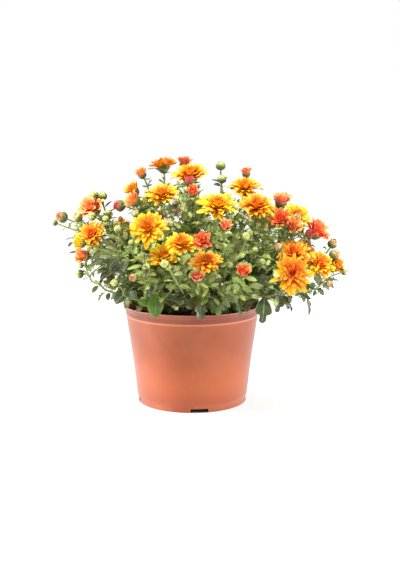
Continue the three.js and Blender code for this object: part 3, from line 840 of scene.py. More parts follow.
def settle(name: str, mesh: bpy.types.Mesh, materials: Sequence[Material], node: str) -> None:
    """Dresses a piece, rides it on the part and has it stand for a node."""
    for material in materials:
        mesh.materials.append(material)
    piece = bpy.data.objects.new(name, mesh)
    link(piece)
    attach(piece, BODY)
    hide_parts(node)
    LOG.info("%s stands for %s, %d faces", name, node, len(mesh.polygons))


# ---------------- pot and soil


@dataclass
class NurseryPot:
    """The moulded pot: tapered wall, raised bead, rim band, and a foot ring with notches."""

    rim_radius: float = 0.0872
    height: float = 0.124
    lip: tuple[Pair, ...] = ((-0.0012, -0.0034), (-0.0004, -0.0027), (0, -0.0018), (0, -0.0006), (-0.0005, 0))
    bead_height: float = 0.1108
    bead_radius: float = 0.0834
    bead_swell: float = 0.0013
    bead_points: int = 10
    step_height: float = 0.008
    step_radius: float = 0.0699
    step_flare: Pair = (0.0003, 0.0014)
    foot_radius: float = 0.0682
    foot_width: float = 0.0032
    foot_edge: float = 0.0005
    pad_radius: float = 0.022
    pad_slope: float = 0.002
    channel: float = 0.003
    channel_slope: float = 0.001
    wall: float = 0.0016
    floor_top: float = 0.0055
    round_edge: float = 0.0006
    fine_edge: float = 0.0004
    sides: int = 160
    sharp: float = 32.0
    notches: int = 4
    notch_turn: float = math.radians(8.0)
    notch: Pair = (0.022, 0.0045)
    notch_reach: Pair = (0.0622, 0.0712)
    drains: int = 5
    drain_radius: float = 0.005
    drain_ring: float = 0.044
    drill: Pair = (-0.01, 0.02)
    drill_sides: int = 32

    def profile(self) -> list[Pair]:
        """Radius and height of the section, from the middle of the underside round to the middle of the floor."""
        foot, step, rim, top = self.foot_radius, self.step_radius, self.rim_radius, self.height
        ring, ledge, edge, fine = foot - self.foot_width, self.step_height, self.round_edge, self.fine_edge
        bead = [
            (self.bead_radius + self.bead_swell * (math.sin(t) - 1), self.bead_height - self.bead_swell * math.cos(t))
            for t in np.linspace(0, math.pi, self.bead_points)
        ]
        return [
            (0, 0), (self.pad_radius, 0), (self.pad_radius + self.pad_slope, self.channel),
            (ring - self.channel_slope, self.channel), (ring, fine), (ring + self.foot_edge, 0),
            (foot - edge, 0), (foot, edge), (foot + self.step_flare[0], ledge - self.step_flare[1]),
            (step - edge, ledge - edge), (step, ledge + fine), *bead,
            *((rim + out, top + up) for out, up in self.lip),
            (rim - self.wall + fine, top), (rim - self.wall, top - fine),
            (step - self.wall, self.floor_top), (0, self.floor_top),
        ]

    def build(self, materials: Sequence[Material]) -> None:
        """Turns the pot, cuts its notches and drains, and dresses it."""
        pot = self._turned("terracotta_pot", self.profile(), self.sides)
        cutters = [self._notch_cutter(self.notch_turn + TURN * i / self.notches) for i in range(self.notches)]
        for i in range(self.drains):
            angle, r, (low, high) = TURN * i / self.drains, self.drain_radius, self.drill
            drill = self._turned("drill", [(0, low), (r, low), (r, high), (0, high)], self.drill_sides)
            drill.location = (self.drain_ring * math.cos(angle), self.drain_ring * math.sin(angle), 0)
            cutters.append(drill)
        for cutter in cutters:
            link(cutter)
            cut = pot.modifiers.new("cut", "BOOLEAN")
            cut.object, cut.operation, cut.solver = cutter, "DIFFERENCE", "EXACT"
        link(pot)
        bpy.context.view_layer.update()
        mesh = bpy.data.meshes.new_from_object(pot.evaluated_get(bpy.context.evaluated_depsgraph_get()))
        for spare in (*cutters, pot):
            bpy.data.objects.remove(spare)
        mesh.materials.clear()
        mesh.shade_smooth()
        mesh.set_sharp_from_angle(angle=math.radians(self.sharp))
        settle("terracotta_pot", mesh, materials, "pot")

    def _notch_cutter(self, turn: float) -> bpy.types.Object:
        """A box that cuts one notch from below."""
        width, height = self.notch
        inner, outer = self.notch_reach
        x, y = np.array([-1, 1, 1, -1]) * width / 2, -np.array([outer, outer, inner, inner])
        cos, sin = math.cos(turn), math.sin(turn)
        points = [(px * cos - py * sin, px * sin + py * cos, z) for z in (-height, height) for px, py in zip(x, y)]
        faces = [(3, 2, 1, 0), (4, 5, 6, 7), (0, 1, 5, 4), (1, 2, 6, 5), (2, 3, 7, 6), (3, 0, 4, 7)]
        mesh = bpy.data.meshes.new("notch")
        mesh.from_pydata(points, [], faces)
        return bpy.data.objects.new("notch", mesh)

    @staticmethod
    def _turned(name: str, profile: Sequence[Pair], sides: int) -> bpy.types.Object:
        """A closed profile, which starts and ends on the axis, turned about it."""
        turns = [TURN * k / sides for k in range(sides)]
        rings = [(r * math.cos(turn), r * math.sin(turn), height) for r, height in profile[1:-1] for turn in turns]
        points = [(0, 0, profile[0][1]), *rings, (0, 0, profile[-1][1])]
        last, top = len(points) - 1, len(points) - 1 - sides
        faces: list[tuple[int, ...]] = []
        for k in range(sides):
            after = (k + 1) % sides
            faces.append((0, 1 + after, 1 + k))
            faces += [(i + k, i + after, i + sides + after, i + sides + k) for i in range(1, top, sides)]
            faces.append((top + k, top + after, last))
        mesh = bpy.data.meshes.new(name)
        mesh.from_pydata(points, [], faces)
        return bpy.data.objects.new(name, mesh)


@dataclass
class PottingSoil:
    """Dark crumbly soil that fills the pot to a little below its rim."""

    bottom: float = 0.0058
    bottom_radius: float = 0.0673
    edge_height: float = 0.1126
    middle_height: float = 0.1150
    edge_radius: float = 0.0817
    heart_radius: float = 0.002
    rings: int = 36
    sides: int = 120
    sharp: float = 60.0
    relief: float = 0.0011
    lump_waves: tuple[int, int, int, int] = (310, 170, 280, 210)
    grain_waves: tuple[int, int] = (900, 1010)
    grain_relief: float = 0.4
    crumbs: int = 520
    crumb_sizes: Pair = (0.0008, 0.0026)
    crumb_margin: float = 0.003
    crumb_lift: float = 0.25
    crumb_flatness: float = 0.3
    crumb_stations: tuple[float, ...] = (-1, -0.6, 0.2, 0.9, 1.1)
    crumb_girths: tuple[float, ...] = (0.25, 0.8, 1.0, 0.6, 0.1)
    crumb_unrest: Pair = (0.8, 1.2)

    def surface(self, x: Array, y: Array) -> Array:
        """The height of the soil at a place."""
        (a, b, c, d), (e, f) = self.lump_waves, self.grain_waves
        share = np.clip(np.hypot(x, y) / self.edge_radius, 0, 1)
        lumps = np.sin(a * x + 2 * np.sin(b * y)) * np.sin(c * y + 2 * np.cos(d * x))
        grains = np.sin(e * x + 1) * np.cos(f * y) * self.grain_relief
        level = self.middle_height + (self.edge_height - self.middle_height) * share**2
        return level + self.relief * (lumps + grains) * (1 - share**6)

    def build(self, rng: Rng, materials: Sequence[Material]) -> None:
        """Builds the soil and its loose crumbs."""
        piece = Piece("potting_soil")
        angle = TURN * np.arange(self.sides) / self.sides
        top = np.linspace(self.heart_radius, self.edge_radius, self.rings)
        radii = np.append(top, [self.bottom_radius, self.heart_radius])
        x, y = radii[:, None] * np.cos(angle), radii[:, None] * np.sin(angle)
        z = np.concatenate([self.surface(x[:-2], y[:-2]), np.full((2, self.sides), self.bottom)])
        rings = np.stack([x, y, z], axis=-1)[::-1]
        points = np.concatenate([rings.reshape(-1, 3), [[0, 0, self.bottom], [0, 0, rings[-1, :, 2].mean()]]])
        piece.add(points, rod_faces(len(rings), self.sides), 0)
        for _ in range(self.crumbs):
            self._crumb(piece, rng)
        piece.make(materials, "soil", self.sharp)

    def _crumb(self, piece: Piece, rng: Rng) -> None:
        """Adds one lump, sunk a little in the surface."""
        reach = (self.edge_radius - self.crumb_margin) * math.sqrt(rng.random())
        angle = TURN * rng.random()
        x, y = reach * math.cos(angle), reach * math.sin(angle)
        size = self.crumb_sizes[0] + (self.crumb_sizes[1] - self.crumb_sizes[0]) * rng.random() ** 2
        lean = unit(rng.normal(size=3) * [1, 1, self.crumb_flatness])
        middle = np.array([x, y, float(self.surface(np.array(x), np.array(y))) + self.crumb_lift * size])
        path = middle + np.outer(self.crumb_stations, lean * size)
        girths = size * np.array(self.crumb_girths) * rng.uniform(*self.crumb_unrest, len(path))
        piece.tube(path, girths, 6, 0, tone=rng.random())


# ---------------- heads and buds


@dataclass(frozen=True)
class Unrest:
    """How much petals differ: their turn by their gap, their slopes in degrees, and their sizes by their own."""

    turn: float = 0.22
    slopes: Triple = (4, 6, 12)
    length: Pair = (-0.1, 0.06)
    width: Pair = (0.88, 1.1)
    cup: Pair = (0.6, 1.4)
    sway: float = 0.05
    twist: float = 0.22
    age: float = 0.04


@dataclass(frozen=True)
class PetalRing:
    """One ring of petals on a head. Lengths are shares of the head's radius and angles are degrees."""

    count: int
    length: float
    width: float
    start: float
    height: float
    rise: Triple
    age: float
    cup: float = 0.35
    unrest: float = 1.0
    most: Unrest = Unrest()

    def blades(self, seat: "Seat", phase: float) -> Blades:
        """Places the ring's petals on a seat, the first one turned by a phase."""
        n, rng, most = self.count, seat.rng, self.most
        angle = phase + TURN * (np.arange(n) + self.unrest * rng.uniform(-most.turn, most.turn, n)) / n
        cos, sin, zero = np.cos(angle), np.sin(angle), np.zeros(n)
        radial, left = np.stack([cos, sin, zero], axis=-1), np.stack([-sin, cos, zero], axis=-1)
        local = np.stack([radial, left, np.broadcast_to(UP, (n, 3))], axis=-1)
        start = radial * self.start + UP * self.height
        rise = np.array(self.rise) + self.unrest * rng.normal(0, 1, (n, 3)) * most.slopes
        return Blades(
            root=seat.base + (start * seat.radius) @ seat.turned.T,
            turned=np.einsum("ij,pjk->pik", seat.turned, local),
            length=seat.radius * self.length * (1 + self.unrest * rng.uniform(*most.length, n)),
            width=seat.radius * self.width * rng.uniform(*most.width, n), rise=rise,
            cup=self.cup * rng.uniform(*most.cup, n), sway=self.unrest * rng.normal(0, most.sway, n),
            twist=self.unrest * rng.normal(0, most.twist, n), ripple=np.zeros(n), tone=rng.random(n),
            age=np.clip(self.age + rng.normal(0, most.age, n), 0, 1),
        )

    def hugging(self, count: int, shrink: float, low: float, reach: float) -> "PetalRing":
        """A ring of a count laid on a ball: it starts at an angle from its foot and runs over a reach, in degrees."""
        a, d = math.radians(low), math.radians(reach)
        return replace(self, count=count, length=shrink * d, start=shrink * math.sin(a), height=-shrink * math.cos(a),
                       rise=(low, low + reach / 2, low + reach))


@dataclass
class Seat:
    """Where a head or a bud sits in a mesh: its foot or its middle, the way it faces, and its radius."""

    piece: Piece
    rng: Rng
    base: Array
    direction: Array
    radius: float

    def __post_init__(self) -> None:
        """Turns its frame the way it faces."""
        self.turned = frame_towards(self.direction)

    def core(self, shape: Sequence[Pair], sides: int, finish: int, tone: float = 0.5, age: float = 0.0,
             least: float = 0.0) -> None:
        """Adds the closed middle of a head.

        Args:
            shape: Its heights and radii, as shares of the head's radius.
            sides: How many sides it has.
            finish: The number of its material.
            tone, age: What the finish reads.
            least: Its smallest radius, in metres.
        """
        heights, girths = np.array(shape, float).T * self.radius
        self.piece.tube(self.base + np.outer(heights, self.direction), np.maximum(girths, least), sides, finish,
                        tone, age)

    def crowd(self, rings: Sequence[PetalRing], outline: Outline, thickness: float, finish: int) -> None:
        """Adds rings of petals, each turned so that its petals stand over the gaps below."""
        phase = self.rng.uniform(0, TURN)
        for ring in rings:
            phase += GOLDEN_ANGLE
            self.piece.blades(outline, ring.blades(self, phase), thickness, finish)


@dataclass
class OpenBloom:
    """A fully open head: seven rings of petals from a flat skirt to a closed heart, and a few that droop.

    Of the drooping ring only the petals that point down are there. An eyed head has only the outer rings, narrower
    and redder, around rings of small florets: their count, reach and height. A lifted head's petals stand up more.
    """

    thickness: float = 0.00035
    droops: PetalRing = PetalRing(9, 1.02, 0.15, 0.13, 0.05, (8, -14, -42), 1.0)
    droop_below: float = -0.62
    rings: tuple[PetalRing, ...] = (
        PetalRing(15, 1.0, 0.132, 0.12, 0.08, (20, 14, -4), 1.0, unrest=1.3),
        PetalRing(15, 0.93, 0.130, 0.11, 0.12, (32, 24, 8), 0.86, unrest=1.15),
        PetalRing(14, 0.82, 0.124, 0.10, 0.15, (44, 35, 20), 0.72),
        PetalRing(12, 0.68, 0.118, 0.09, 0.18, (56, 47, 34), 0.54),
        PetalRing(10, 0.54, 0.106, 0.075, 0.21, (68, 61, 52), 0.36),
        PetalRing(8, 0.41, 0.090, 0.055, 0.24, (80, 80, 80), 0.2),
        PetalRing(6, 0.30, 0.075, 0.03, 0.25, (89, 100, 120), 0.06),
    )
    core: tuple[Pair, ...] = ((-0.02, 0.2), (0.1, 0.2), (0.2, 0.15), (0.28, 0.09), (0.33, 0.02))
    eyed: frozenset[str] = frozenset({"right_front_2"})
    ring_round_eye: PetalRing = PetalRing(11, 0.36, 0.085, 0.14, 0.21, (58, 56, 50), 0.1)
    eye_rings: int = 5
    eyed_age: float = 0.74
    eyed_slender: float = 0.86
    eyed_unrest: float = 1.5
    floret: PetalRing = PetalRing(1, 0.11, 0.032, 0, 0, (78, 88, 96), 0.0, 0.6, 0.8)
    eye: tuple[tuple[int, float, float], ...] = ((12, 0.12, 0.2), (8, 0.075, 0.22), (4, 0.03, 0.23))
    lifted: Mapping[str, float] = field(default_factory=lambda: {"front_left_2": 12.0})

    def add(self, seat: Seat, name: str) -> None:
        """Adds the head of a name. On one that faces sideways, the lowest petals hang."""
        lift, eyed, rings = self.lifted.get(name), name in self.eyed, self.rings
        if lift:
            rings = tuple(replace(ring, rise=tuple(min(90.0, angle + lift) for angle in ring.rise)) for ring in rings)
        if eyed:
            rings = (*(replace(ring, age=ring.age * self.eyed_age, width=ring.width * self.eyed_slender,
                               unrest=self.eyed_unrest) for ring in rings[:self.eye_rings]), self.ring_round_eye)
        seat.crowd(rings, PETAL_OUTLINE, self.thickness, 0)
        if eyed:
            florets = [replace(self.floret, count=count, start=reach, height=height)
                       for count, reach, height in self.eye]
            seat.crowd(florets, SCALE_OUTLINE, self.thickness, 1)
        hanging = self.droops.blades(seat, seat.rng.uniform(0, TURN))
        lowest = hanging.turned[:, 2, 0] < self.droop_below
        seat.piece.blades(PETAL_OUTLINE, hanging.picked(lowest), self.thickness, 0)
        seat.core(self.core, 12, 0, 0.4)


@dataclass
class HalfOpenBloom:
    """A head that is still a cup of upright petals. From the narrow radius to the wide one it flares more."""

    thickness: float = 0.00035
    narrow: float = 0.0065
    wide: float = 0.0135
    flare: Triple = (0, 24, 48)
    flare_growth: float = 1.5
    rings: tuple[PetalRing, ...] = (
        PetalRing(10, 1.38, 0.27, 0.38, 0.05, (58, 68, 44), 1.0, 0.3),
        PetalRing(9, 1.38, 0.25, 0.28, 0.08, (70, 80, 60), 0.75, 0.35),
        PetalRing(7, 1.26, 0.22, 0.17, 0.1, (80, 86, 80), 0.45, 0.4, 0.8),
        PetalRing(5, 1.05, 0.18, 0.07, 0.1, (86, 94, 100), 0.2, 0.4, 0.7),
    )
    core: tuple[Pair, ...] = ((-0.02, 0.42), (0.2, 0.5), (0.5, 0.4), (0.75, 0.1))

    def add(self, seat: Seat) -> None:
        """Adds the head."""
        openness = float(np.clip((seat.radius - self.narrow) / (self.wide - self.narrow), 0, 1)) ** self.flare_growth
        lean = np.array(self.flare, float) * openness
        rings = [replace(ring, rise=tuple(np.array(ring.rise) - lean)) for ring in self.rings]
        seat.crowd(rings, PETAL_OUTLINE, self.thickness, 0)
        seat.core(self.core, 10, 0, 0.4)


@dataclass(frozen=True)
class Calyx:
    """The green cup under a head, with its overlapping scales. Its core is heights and radii by the head's radius."""

    core: tuple[Pair, ...]
    rings: tuple[PetalRing, ...]
    stem_radius: float = 0.0013
    thickness: float = 0.0004

    @property
    def depth(self) -> float:
        """How far the cup reaches down below the head's foot."""
        return -self.core[0][0]

    def add(self, seat: Seat) -> None:
        """Adds the calyx under the head of a seat."""
        seat.core(self.core, 12, 2, 0.4, least=self.stem_radius)
        seat.crowd(self.rings, SCALE_OUTLINE, self.thickness, 2)


SAUCER_CALYX = Calyx(
    ((-0.32, 0.0), (-0.26, 0.15), (-0.16, 0.28), (-0.04, 0.35), (0.06, 0.36), (0.12, 0.24)),
    (
        PetalRing(8, 0.27, 0.11, 0.14, -0.25, (40, 48, 30), 0.5, 0.4, 0.4),
        PetalRing(10, 0.3, 0.11, 0.25, -0.17, (55, 46, 20), 0.5, 0.4, 0.4),
        PetalRing(12, 0.3, 0.1, 0.33, -0.06, (60, 40, 14), 0.5, 0.4, 0.4),
    ),
)
CUP_CALYX = Calyx(
    ((-0.42, 0.0), (-0.34, 0.24), (-0.2, 0.46), (0.0, 0.6), (0.22, 0.64), (0.3, 0.5)),
    (
        PetalRing(8, 0.5, 0.2, 0.2, -0.36, (24, 52, 78), 0.5, 0.3, 0.4),
        PetalRing(9, 0.52, 0.21, 0.44, -0.22, (50, 70, 84), 0.5, 0.3, 0.4),
        PetalRing(10, 0.52, 0.2, 0.6, 0.0, (72, 82, 80), 0.5, 0.3, 0.4),
    ),
)


@dataclass
class Bud:
    """A closed bud: a ball in overlapping scales, with folded petals at its top and a crown of petals once it is old.

    The rings of scales and folds are rows for PetalRing.hugging. A crown's have a count, a start, a height and slopes.
    """

    thickness: float = 0.00035
    ball: float = 0.94
    polar: tuple[float, ...] = (8, 32, 62, 90, 118, 148, 172)
    scale: PetalRing = PetalRing(1, 1, 0.34, 0, 0, (0, 0, 0), 0.5, -0.1, 0.3)
    scales: tuple[tuple[int, float, float, float], ...] = (
        (8, 0.98, 10, 62), (9, 1.02, 32, 66), (9, 1.05, 54, 58),
    )
    fold: PetalRing = PetalRing(1, 1, 0.24, 0, 0, (0, 0, 0), 0, -0.1, 0.3)
    folds: tuple[tuple[int, float, float, float], ...] = ((11, 0.98, 66, 98), (7, 1.0, 96, 78))
    crown: PetalRing = PetalRing(1, 0.82, 0.27, 0, 0, (0, 0, 0), 0, 0.3, 1.4)
    crowns: tuple[tuple[int, float, float, Triple], ...] = (
        (8, 0.74, 0.42, (62, 84, 108)), (6, 0.52, 0.62, (72, 92, 112)),
    )
    crown_age: float = 0.3
    crown_size: float = 0.92

    def add(self, seat: Seat, age: float) -> None:
        """Adds the bud, with petals that have coloured as far as its age says."""
        polar = np.radians(self.polar)
        seat.core(np.column_stack([-np.cos(polar), np.sin(polar)]) * self.ball, 12, 3, age=age)
        fold, crown = replace(self.fold, age=age), replace(self.crown, age=age)
        seat.crowd([fold.hugging(*row) for row in self.folds], SCALE_OUTLINE, self.thickness, 3)
        if age > self.crown_age:
            rings = [replace(crown, count=n, start=start, height=height, rise=rise)
                     for n, start, height, rise in self.crowns]
            smaller = replace(seat, radius=seat.radius * self.crown_size)
            smaller.crowd(rings, PETAL_OUTLINE, self.thickness, 3)
        seat.crowd([self.scale.hugging(*row) for row in self.scales], SCALE_OUTLINE, self.thickness, 2)


# ---------------- the plant's plan


class Stage(Enum):
    """How far a flower has opened."""

    OPEN = "open"
    HALF = "half"
    BUD = "bud"


OPEN, HALF, BUD = Stage
HEAD_LIFT = {OPEN: 0.3, HALF: 0.6, BUD: 1.0}
BUD_AGE = {GREEN: 0.05, PALE: 0.35, ORANGE: 0.54, CORAL: 0.7, PINK: 1.0}


@dataclass(frozen=True)
class ShootPlan:
    """One leafy shoot: its foot's bearing and distance from the pot's axis, and its crown, in millimetres."""

    name: str
    bearing: float
    distance: float
    crown: Triple


SHOOTS = (
    ShootPlan("left", -75, 34, (-84, -28, 182)),
    ShootPlan("left_top", -110, 26, (-54, -8, 216)),
    ShootPlan("front_left", -35, 32, (-42, -68, 172)),
    ShootPlan("top", -150, 10, (-8, -18, 226)),
    ShootPlan("front", 5, 34, (0, -86, 160)),
    ShootPlan("front_right", 35, 33, (38, -80, 166)),
    ShootPlan("top_right", 60, 12, (42, -24, 208)),
    ShootPlan("right_front", 65, 34, (82, -50, 166)),
    ShootPlan("right", 95, 32, (98, -18, 172)),
    ShootPlan("back_left", -140, 30, (-52, 52, 182)),
    ShootPlan("back", 175, 30, (6, 76, 186)),
    ShootPlan("back_right", 130, 30, (68, 52, 176)),
)

# The flowers of each shoot: the middle of the head, its width, the bearing and the rise of the way it faces, its
# stage and its tint.
FLOWERS = {
    "left": (
        (-120, -50, 217, 36, -25, 38, OPEN, ORANGE), (-132, -72, 208, 16, -60, 10, HALF, YELLOW),
        (-123, -25, 248, 29, -35, 40, HALF, CORAL), (-130, -58, 192, 20, -48, 14, HALF, CORAL),
        (-161, -10, 234, 13, -80, 20, BUD, CORAL), (-169, -20, 228, 7, -85, 20, BUD, GREEN),
        (-137, -40, 167, 10, -80, 0, BUD, GREEN), (-110, -20, 261, 11, -10, 70, BUD, GREEN)),
    "left_top": (
        (-37, 15, 298, 37, -135, 76, OPEN, ORANGE), (-63, 0, 288, 16, -45, 55, HALF, CORAL),
        (-73, -14, 268, 20, -60, 50, HALF, ORANGE), (-70, -45, 257, 20, -50, 30, HALF, CORAL),
        (-87, -35, 250, 13, -80, 10, BUD, PINK), (-66, -64, 242, 8, -30, 60, BUD, PALE),
        (-102, -60, 236, 8, -30, 50, BUD, GREEN)),
    "front_left": (
        (-48, -125, 231, 43, -5, 42, OPEN, GOLD), (-30, -122, 197, 41, -8, 54, OPEN, YELLOW),
        (-85, -90, 226, 9, -10, 60, BUD, GREEN), (-90, -85, 163, 9, -20, 20, BUD, GREEN),
        (-66, -112, 173, 9, -20, 5, BUD, ORANGE)),
    "top": (
        (-2, -28, 288, 45, -20, 68, OPEN, GOLD), (-10, 30, 301, 19, 0, 84, HALF, RED),
        (2, -78, 269, 15, -15, 45, HALF, RED), (-2, -60, 281, 12, -20, 50, BUD, PINK),
        (-34, -72, 265, 40, -10, 62, OPEN, GOLD)),
    "front": (
        (-10, -150, 216, 36, 5, 62, OPEN, GOLD), (17, -142, 195, 36, 0, 62, OPEN, ORANGE),
        (13, -150, 219, 19, -5, 22, HALF, RED), (7, -150, 179, 16, -8, 50, HALF, PINK),
        (-28, -165, 196, 9, -10, 10, BUD, GREEN)),
    "front_right": (
        (39, -125, 233, 15, 10, 40, HALF, PINK), (58, -138, 183, 17, 5, 48, HALF, RED),
        (62, -120, 221, 9, 0, 30, BUD, GREEN)),
    "top_right": (
        (31, -95, 254, 48, 6, 65, OPEN, YELLOW), (65, -25, 272, 41, 10, 66, OPEN, GOLD),
        (68, 8, 289, 15, 10, 84, HALF, RED), (78, -55, 251, 45, 8, 63, OPEN, EMBER),
        (36, 10, 297, 11, 0, 85, BUD, GREEN), (37, -10, 281, 10, 10, 70, BUD, GREEN)),
    "right_front": (
        (121, -68, 196, 40, -5, 50, OPEN, ORANGE), (115, -115, 178, 45, 2, 24, OPEN, EMBER),
        (106, -62, 236, 22, -25, 30, HALF, RED), (121, -58, 227, 20, 10, 36, HALF, CORAL),
        (143, -45, 217, 11, 20, 20, BUD, PINK), (101, -95, 206, 9, -40, 40, BUD, ORANGE)),
    "right": (
        (129, -22, 237, 37, 25, 46, OPEN, YELLOW), (112, 2, 254, 23, 15, 66, HALF, PINK),
        (155, -15, 218, 27, 42, 46, HALF, RED), (153, -58, 182, 38, 30, 38, OPEN, GOLD),
        (178, -25, 176, 23, 68, 30, HALF, EMBER), (176, -5, 200, 11, 50, 60, BUD, ORANGE),
        (175, -28, 189, 12, 70, 36, BUD, ORANGE), (163, -72, 160, 8, 40, -10, BUD, ORANGE)),
    "back_left": (
        (-96, 62, 219, 31, -130, 78, OPEN, GOLD), (-52, 96, 248, 42, -155, 50, OPEN, YELLOW),
        (-86, 112, 196, 44, -145, 25, OPEN, ORANGE), (-140, 42, 208, 24, -110, 35, HALF, RED),
        (-38, 62, 266, 17, -160, 70, HALF, ORANGE), (-124, 88, 226, 9, -125, 45, BUD, GREEN)),
    "back": (
        (4, 122, 236, 44, 180, 40, OPEN, GOLD), (36, 74, 249, 32, 165, 60, OPEN, YELLOW),
        (40, 140, 192, 42, 170, 22, OPEN, ORANGE), (-26, 142, 204, 22, -170, 25, HALF, RED),
        (-8, 82, 272, 10, 180, 60, BUD, GREEN)),
    "back_right": (
        (92, 96, 226, 42, 145, 40, OPEN, GOLD), (132, 48, 226, 38, 115, 50, OPEN, ORANGE),
        (150, 72, 186, 24, 120, 25, HALF, RED), (92, 48, 249, 17, 130, 65, HALF, CORAL),
        (84, 128, 192, 10, 150, 20, BUD, CORAL)),
}

# The small buds between the flowers, in the same columns but the stage.
SMALL_BUDS = {
    "left": (
        (-119, -24, 263, 8, -40, 50, GREEN), (-138, -38, 236, 11, -70, 30, PALE),
        (-120, -45, 238, 10, -40, 20, GREEN), (-137, -42, 216, 8, -80, 10, GREEN),
        (-101, -40, 242, 8, -30, 60, GREEN), (-103, -45, 229, 8, -30, 40, GREEN), (-135, -42, 178, 7, -70, 10, GREEN),
        (-112, -50, 183, 7, -50, 20, GREEN)),
    "left_top": (
        (-90, -45, 221, 9, -10, 45, PALE), (-86, -40, 234, 6, -20, 50, CORAL), (-56, -30, 248, 7, -10, 70, GREEN),
        (-53, -30, 262, 6, -10, 60, GREEN)),
    "front_left": (
        (-26, -94, 233, 11, -8, 50, PALE), (-31, -90, 216, 8, -20, 40, GREEN), (-38, -55, 239, 9, -10, 50, PINK),
        (-71, -73, 209, 7, -30, 40, GREEN), (-51, -125, 187, 7, -10, 30, GREEN)),
    "top": (
        (-19, -45, 254, 8, -10, 60, PALE), (-18, -55, 245, 6, 0, 50, CORAL), (10, -98, 211, 6, 0, 50, GREEN),
        (16, -48, 252, 7, 0, 60, GREEN)),
    "front": ((-6, -109, 191, 7, -10, 30, GREEN),),
    "front_right": ((44, -106, 187, 8, 10, 40, GREEN),),
    "top_right": ((99, -40, 245, 8, 30, 50, CORAL),),
    "right_front": (
        (127, -48, 237, 9, 10, 35, PALE), (74, -89, 202, 7, 20, 50, GREEN), (79, -60, 229, 7, 20, 60, GREEN),
        (82, -93, 189, 7, 30, 30, GREEN)),
    "right": (
        (138, 10, 226, 8, 80, 40, GREEN), (188, -27, 168, 8, 75, 20, PALE)),
    "back_left": (
        (-72, 78, 246, 8, -150, 60, GREEN), (-112, 66, 214, 7, -110, 30, CORAL)),
    "back": (
        (-22, 104, 238, 8, 180, 50, GREEN), (22, 122, 214, 7, 170, 30, PALE)),
    "back_right": (
        (74, 84, 240, 8, 150, 60, GREEN), (122, 74, 206, 7, 120, 30, GREEN)),
}

# The stems that stand free in front of the leaves: the places that each passes on its way down from its head
# or bud, by the middle of that head or bud.
COURSES = {
    (-28, -165, 196): ((-21, -152, 184), (-17, -140, 174), (-13, -126, 165)),
    (-90, -85, 163): ((-86, -86, 161), (-80, -84, 153), (-74, -80, 145)),
    (-137, -40, 167): ((-126, -44, 166), (-121, -47, 159), (-110, -50, 154), (-98, -52, 147)),
    (163, -72, 160): ((154, -76, 160), (143, -80, 154), (115, -88, 151), (83, -88, 147), (64, -84, 145)),
    (-48, -125, 231): ((-55, -118, 209), (-53, -121, 198), (-51, -121, 183), (-50, -112, 165)),
    (-51, -125, 187): ((-47, -124, 177), (-40, -118, 162), (-45, -104, 152)),
}

# The leaves of each shoot that hang at the rim: the foot of the blade, its tip from there, its half width, its age
# and its form.
RIM_LEAVES = {
    "left": ((-76, -72, 149, -13, -4, -15, 9.5, 1, ROUND),),
    "front_left": (
        (-64, -104, 155, -8, -4, -9, 4.2, 1, ROUND), (-45, -114, 163, -4, -4, -12, 4.6, 1, ROUND),
        (-47, -100, 141, -16, -4, 1, 4.8, 1.9, ROUND), (-42, -98, 148, 4, -4, -23, 9.4, 1.8, ROUND),
        (-56, -100, 140, -6, -4, -9, 5, 0.6, LOBED)),
    "front": (
        (-28, -106, 146, 25, -4, -7, 8, 1, ROUND), (-3, -108, 153, 14, -4, 6, 4, 1.6, LOBED),
        (10, -104, 147, -2, -4, -24, 7.6, 0.75, LOBED), (18, -102, 140, 17, -4, -11, 6, 1.5, LOBED)),
    "front_right": (
        (23, -104, 150, 8, -4, -16, 4.4, 0.95, ROUND), (53, -98, 145, 5, -4, -20, 4.2, 0.95, LOBED)),
    "right_front": (
        (84, -92, 144, -3, -4, -28, 10.5, 1, SPADE), (100, -90, 147, -1, -4, -18, 7.4, 0.78, SPADE),
        (107, -86, 146, 7, -4, -14, 5.8, 0.72, SPADE)),
    "right": (
        (130, -52, 146, 6, -4, -12, 4.6, 0.78, ROUND), (136, -41, 144, 5, -2, -30, 4.2, 0.82, LOBED),
        (138, -41, 139, 8, -2, -4, 2.4, 0.95, SLIM)),
    "back_left": (
        (-58, 70, 142, -6, 14, -22, 10.5, 0.95, LOBED), (-80, 42, 140, -14, 4, -16, 8.5, 0.8, LOBED)),
    "back": (
        (-8, 84, 140, -6, 14, -22, 11, 0.8, LOBED), (26, 82, 144, 8, 12, -20, 9.5, 1.8, LOBED)),
    "back_right": (
        (66, 62, 142, 10, 12, -24, 11, 0.95, LOBED), (88, 22, 142, 10, 4, -20, 8.5, 0.7, LOBED)),
}

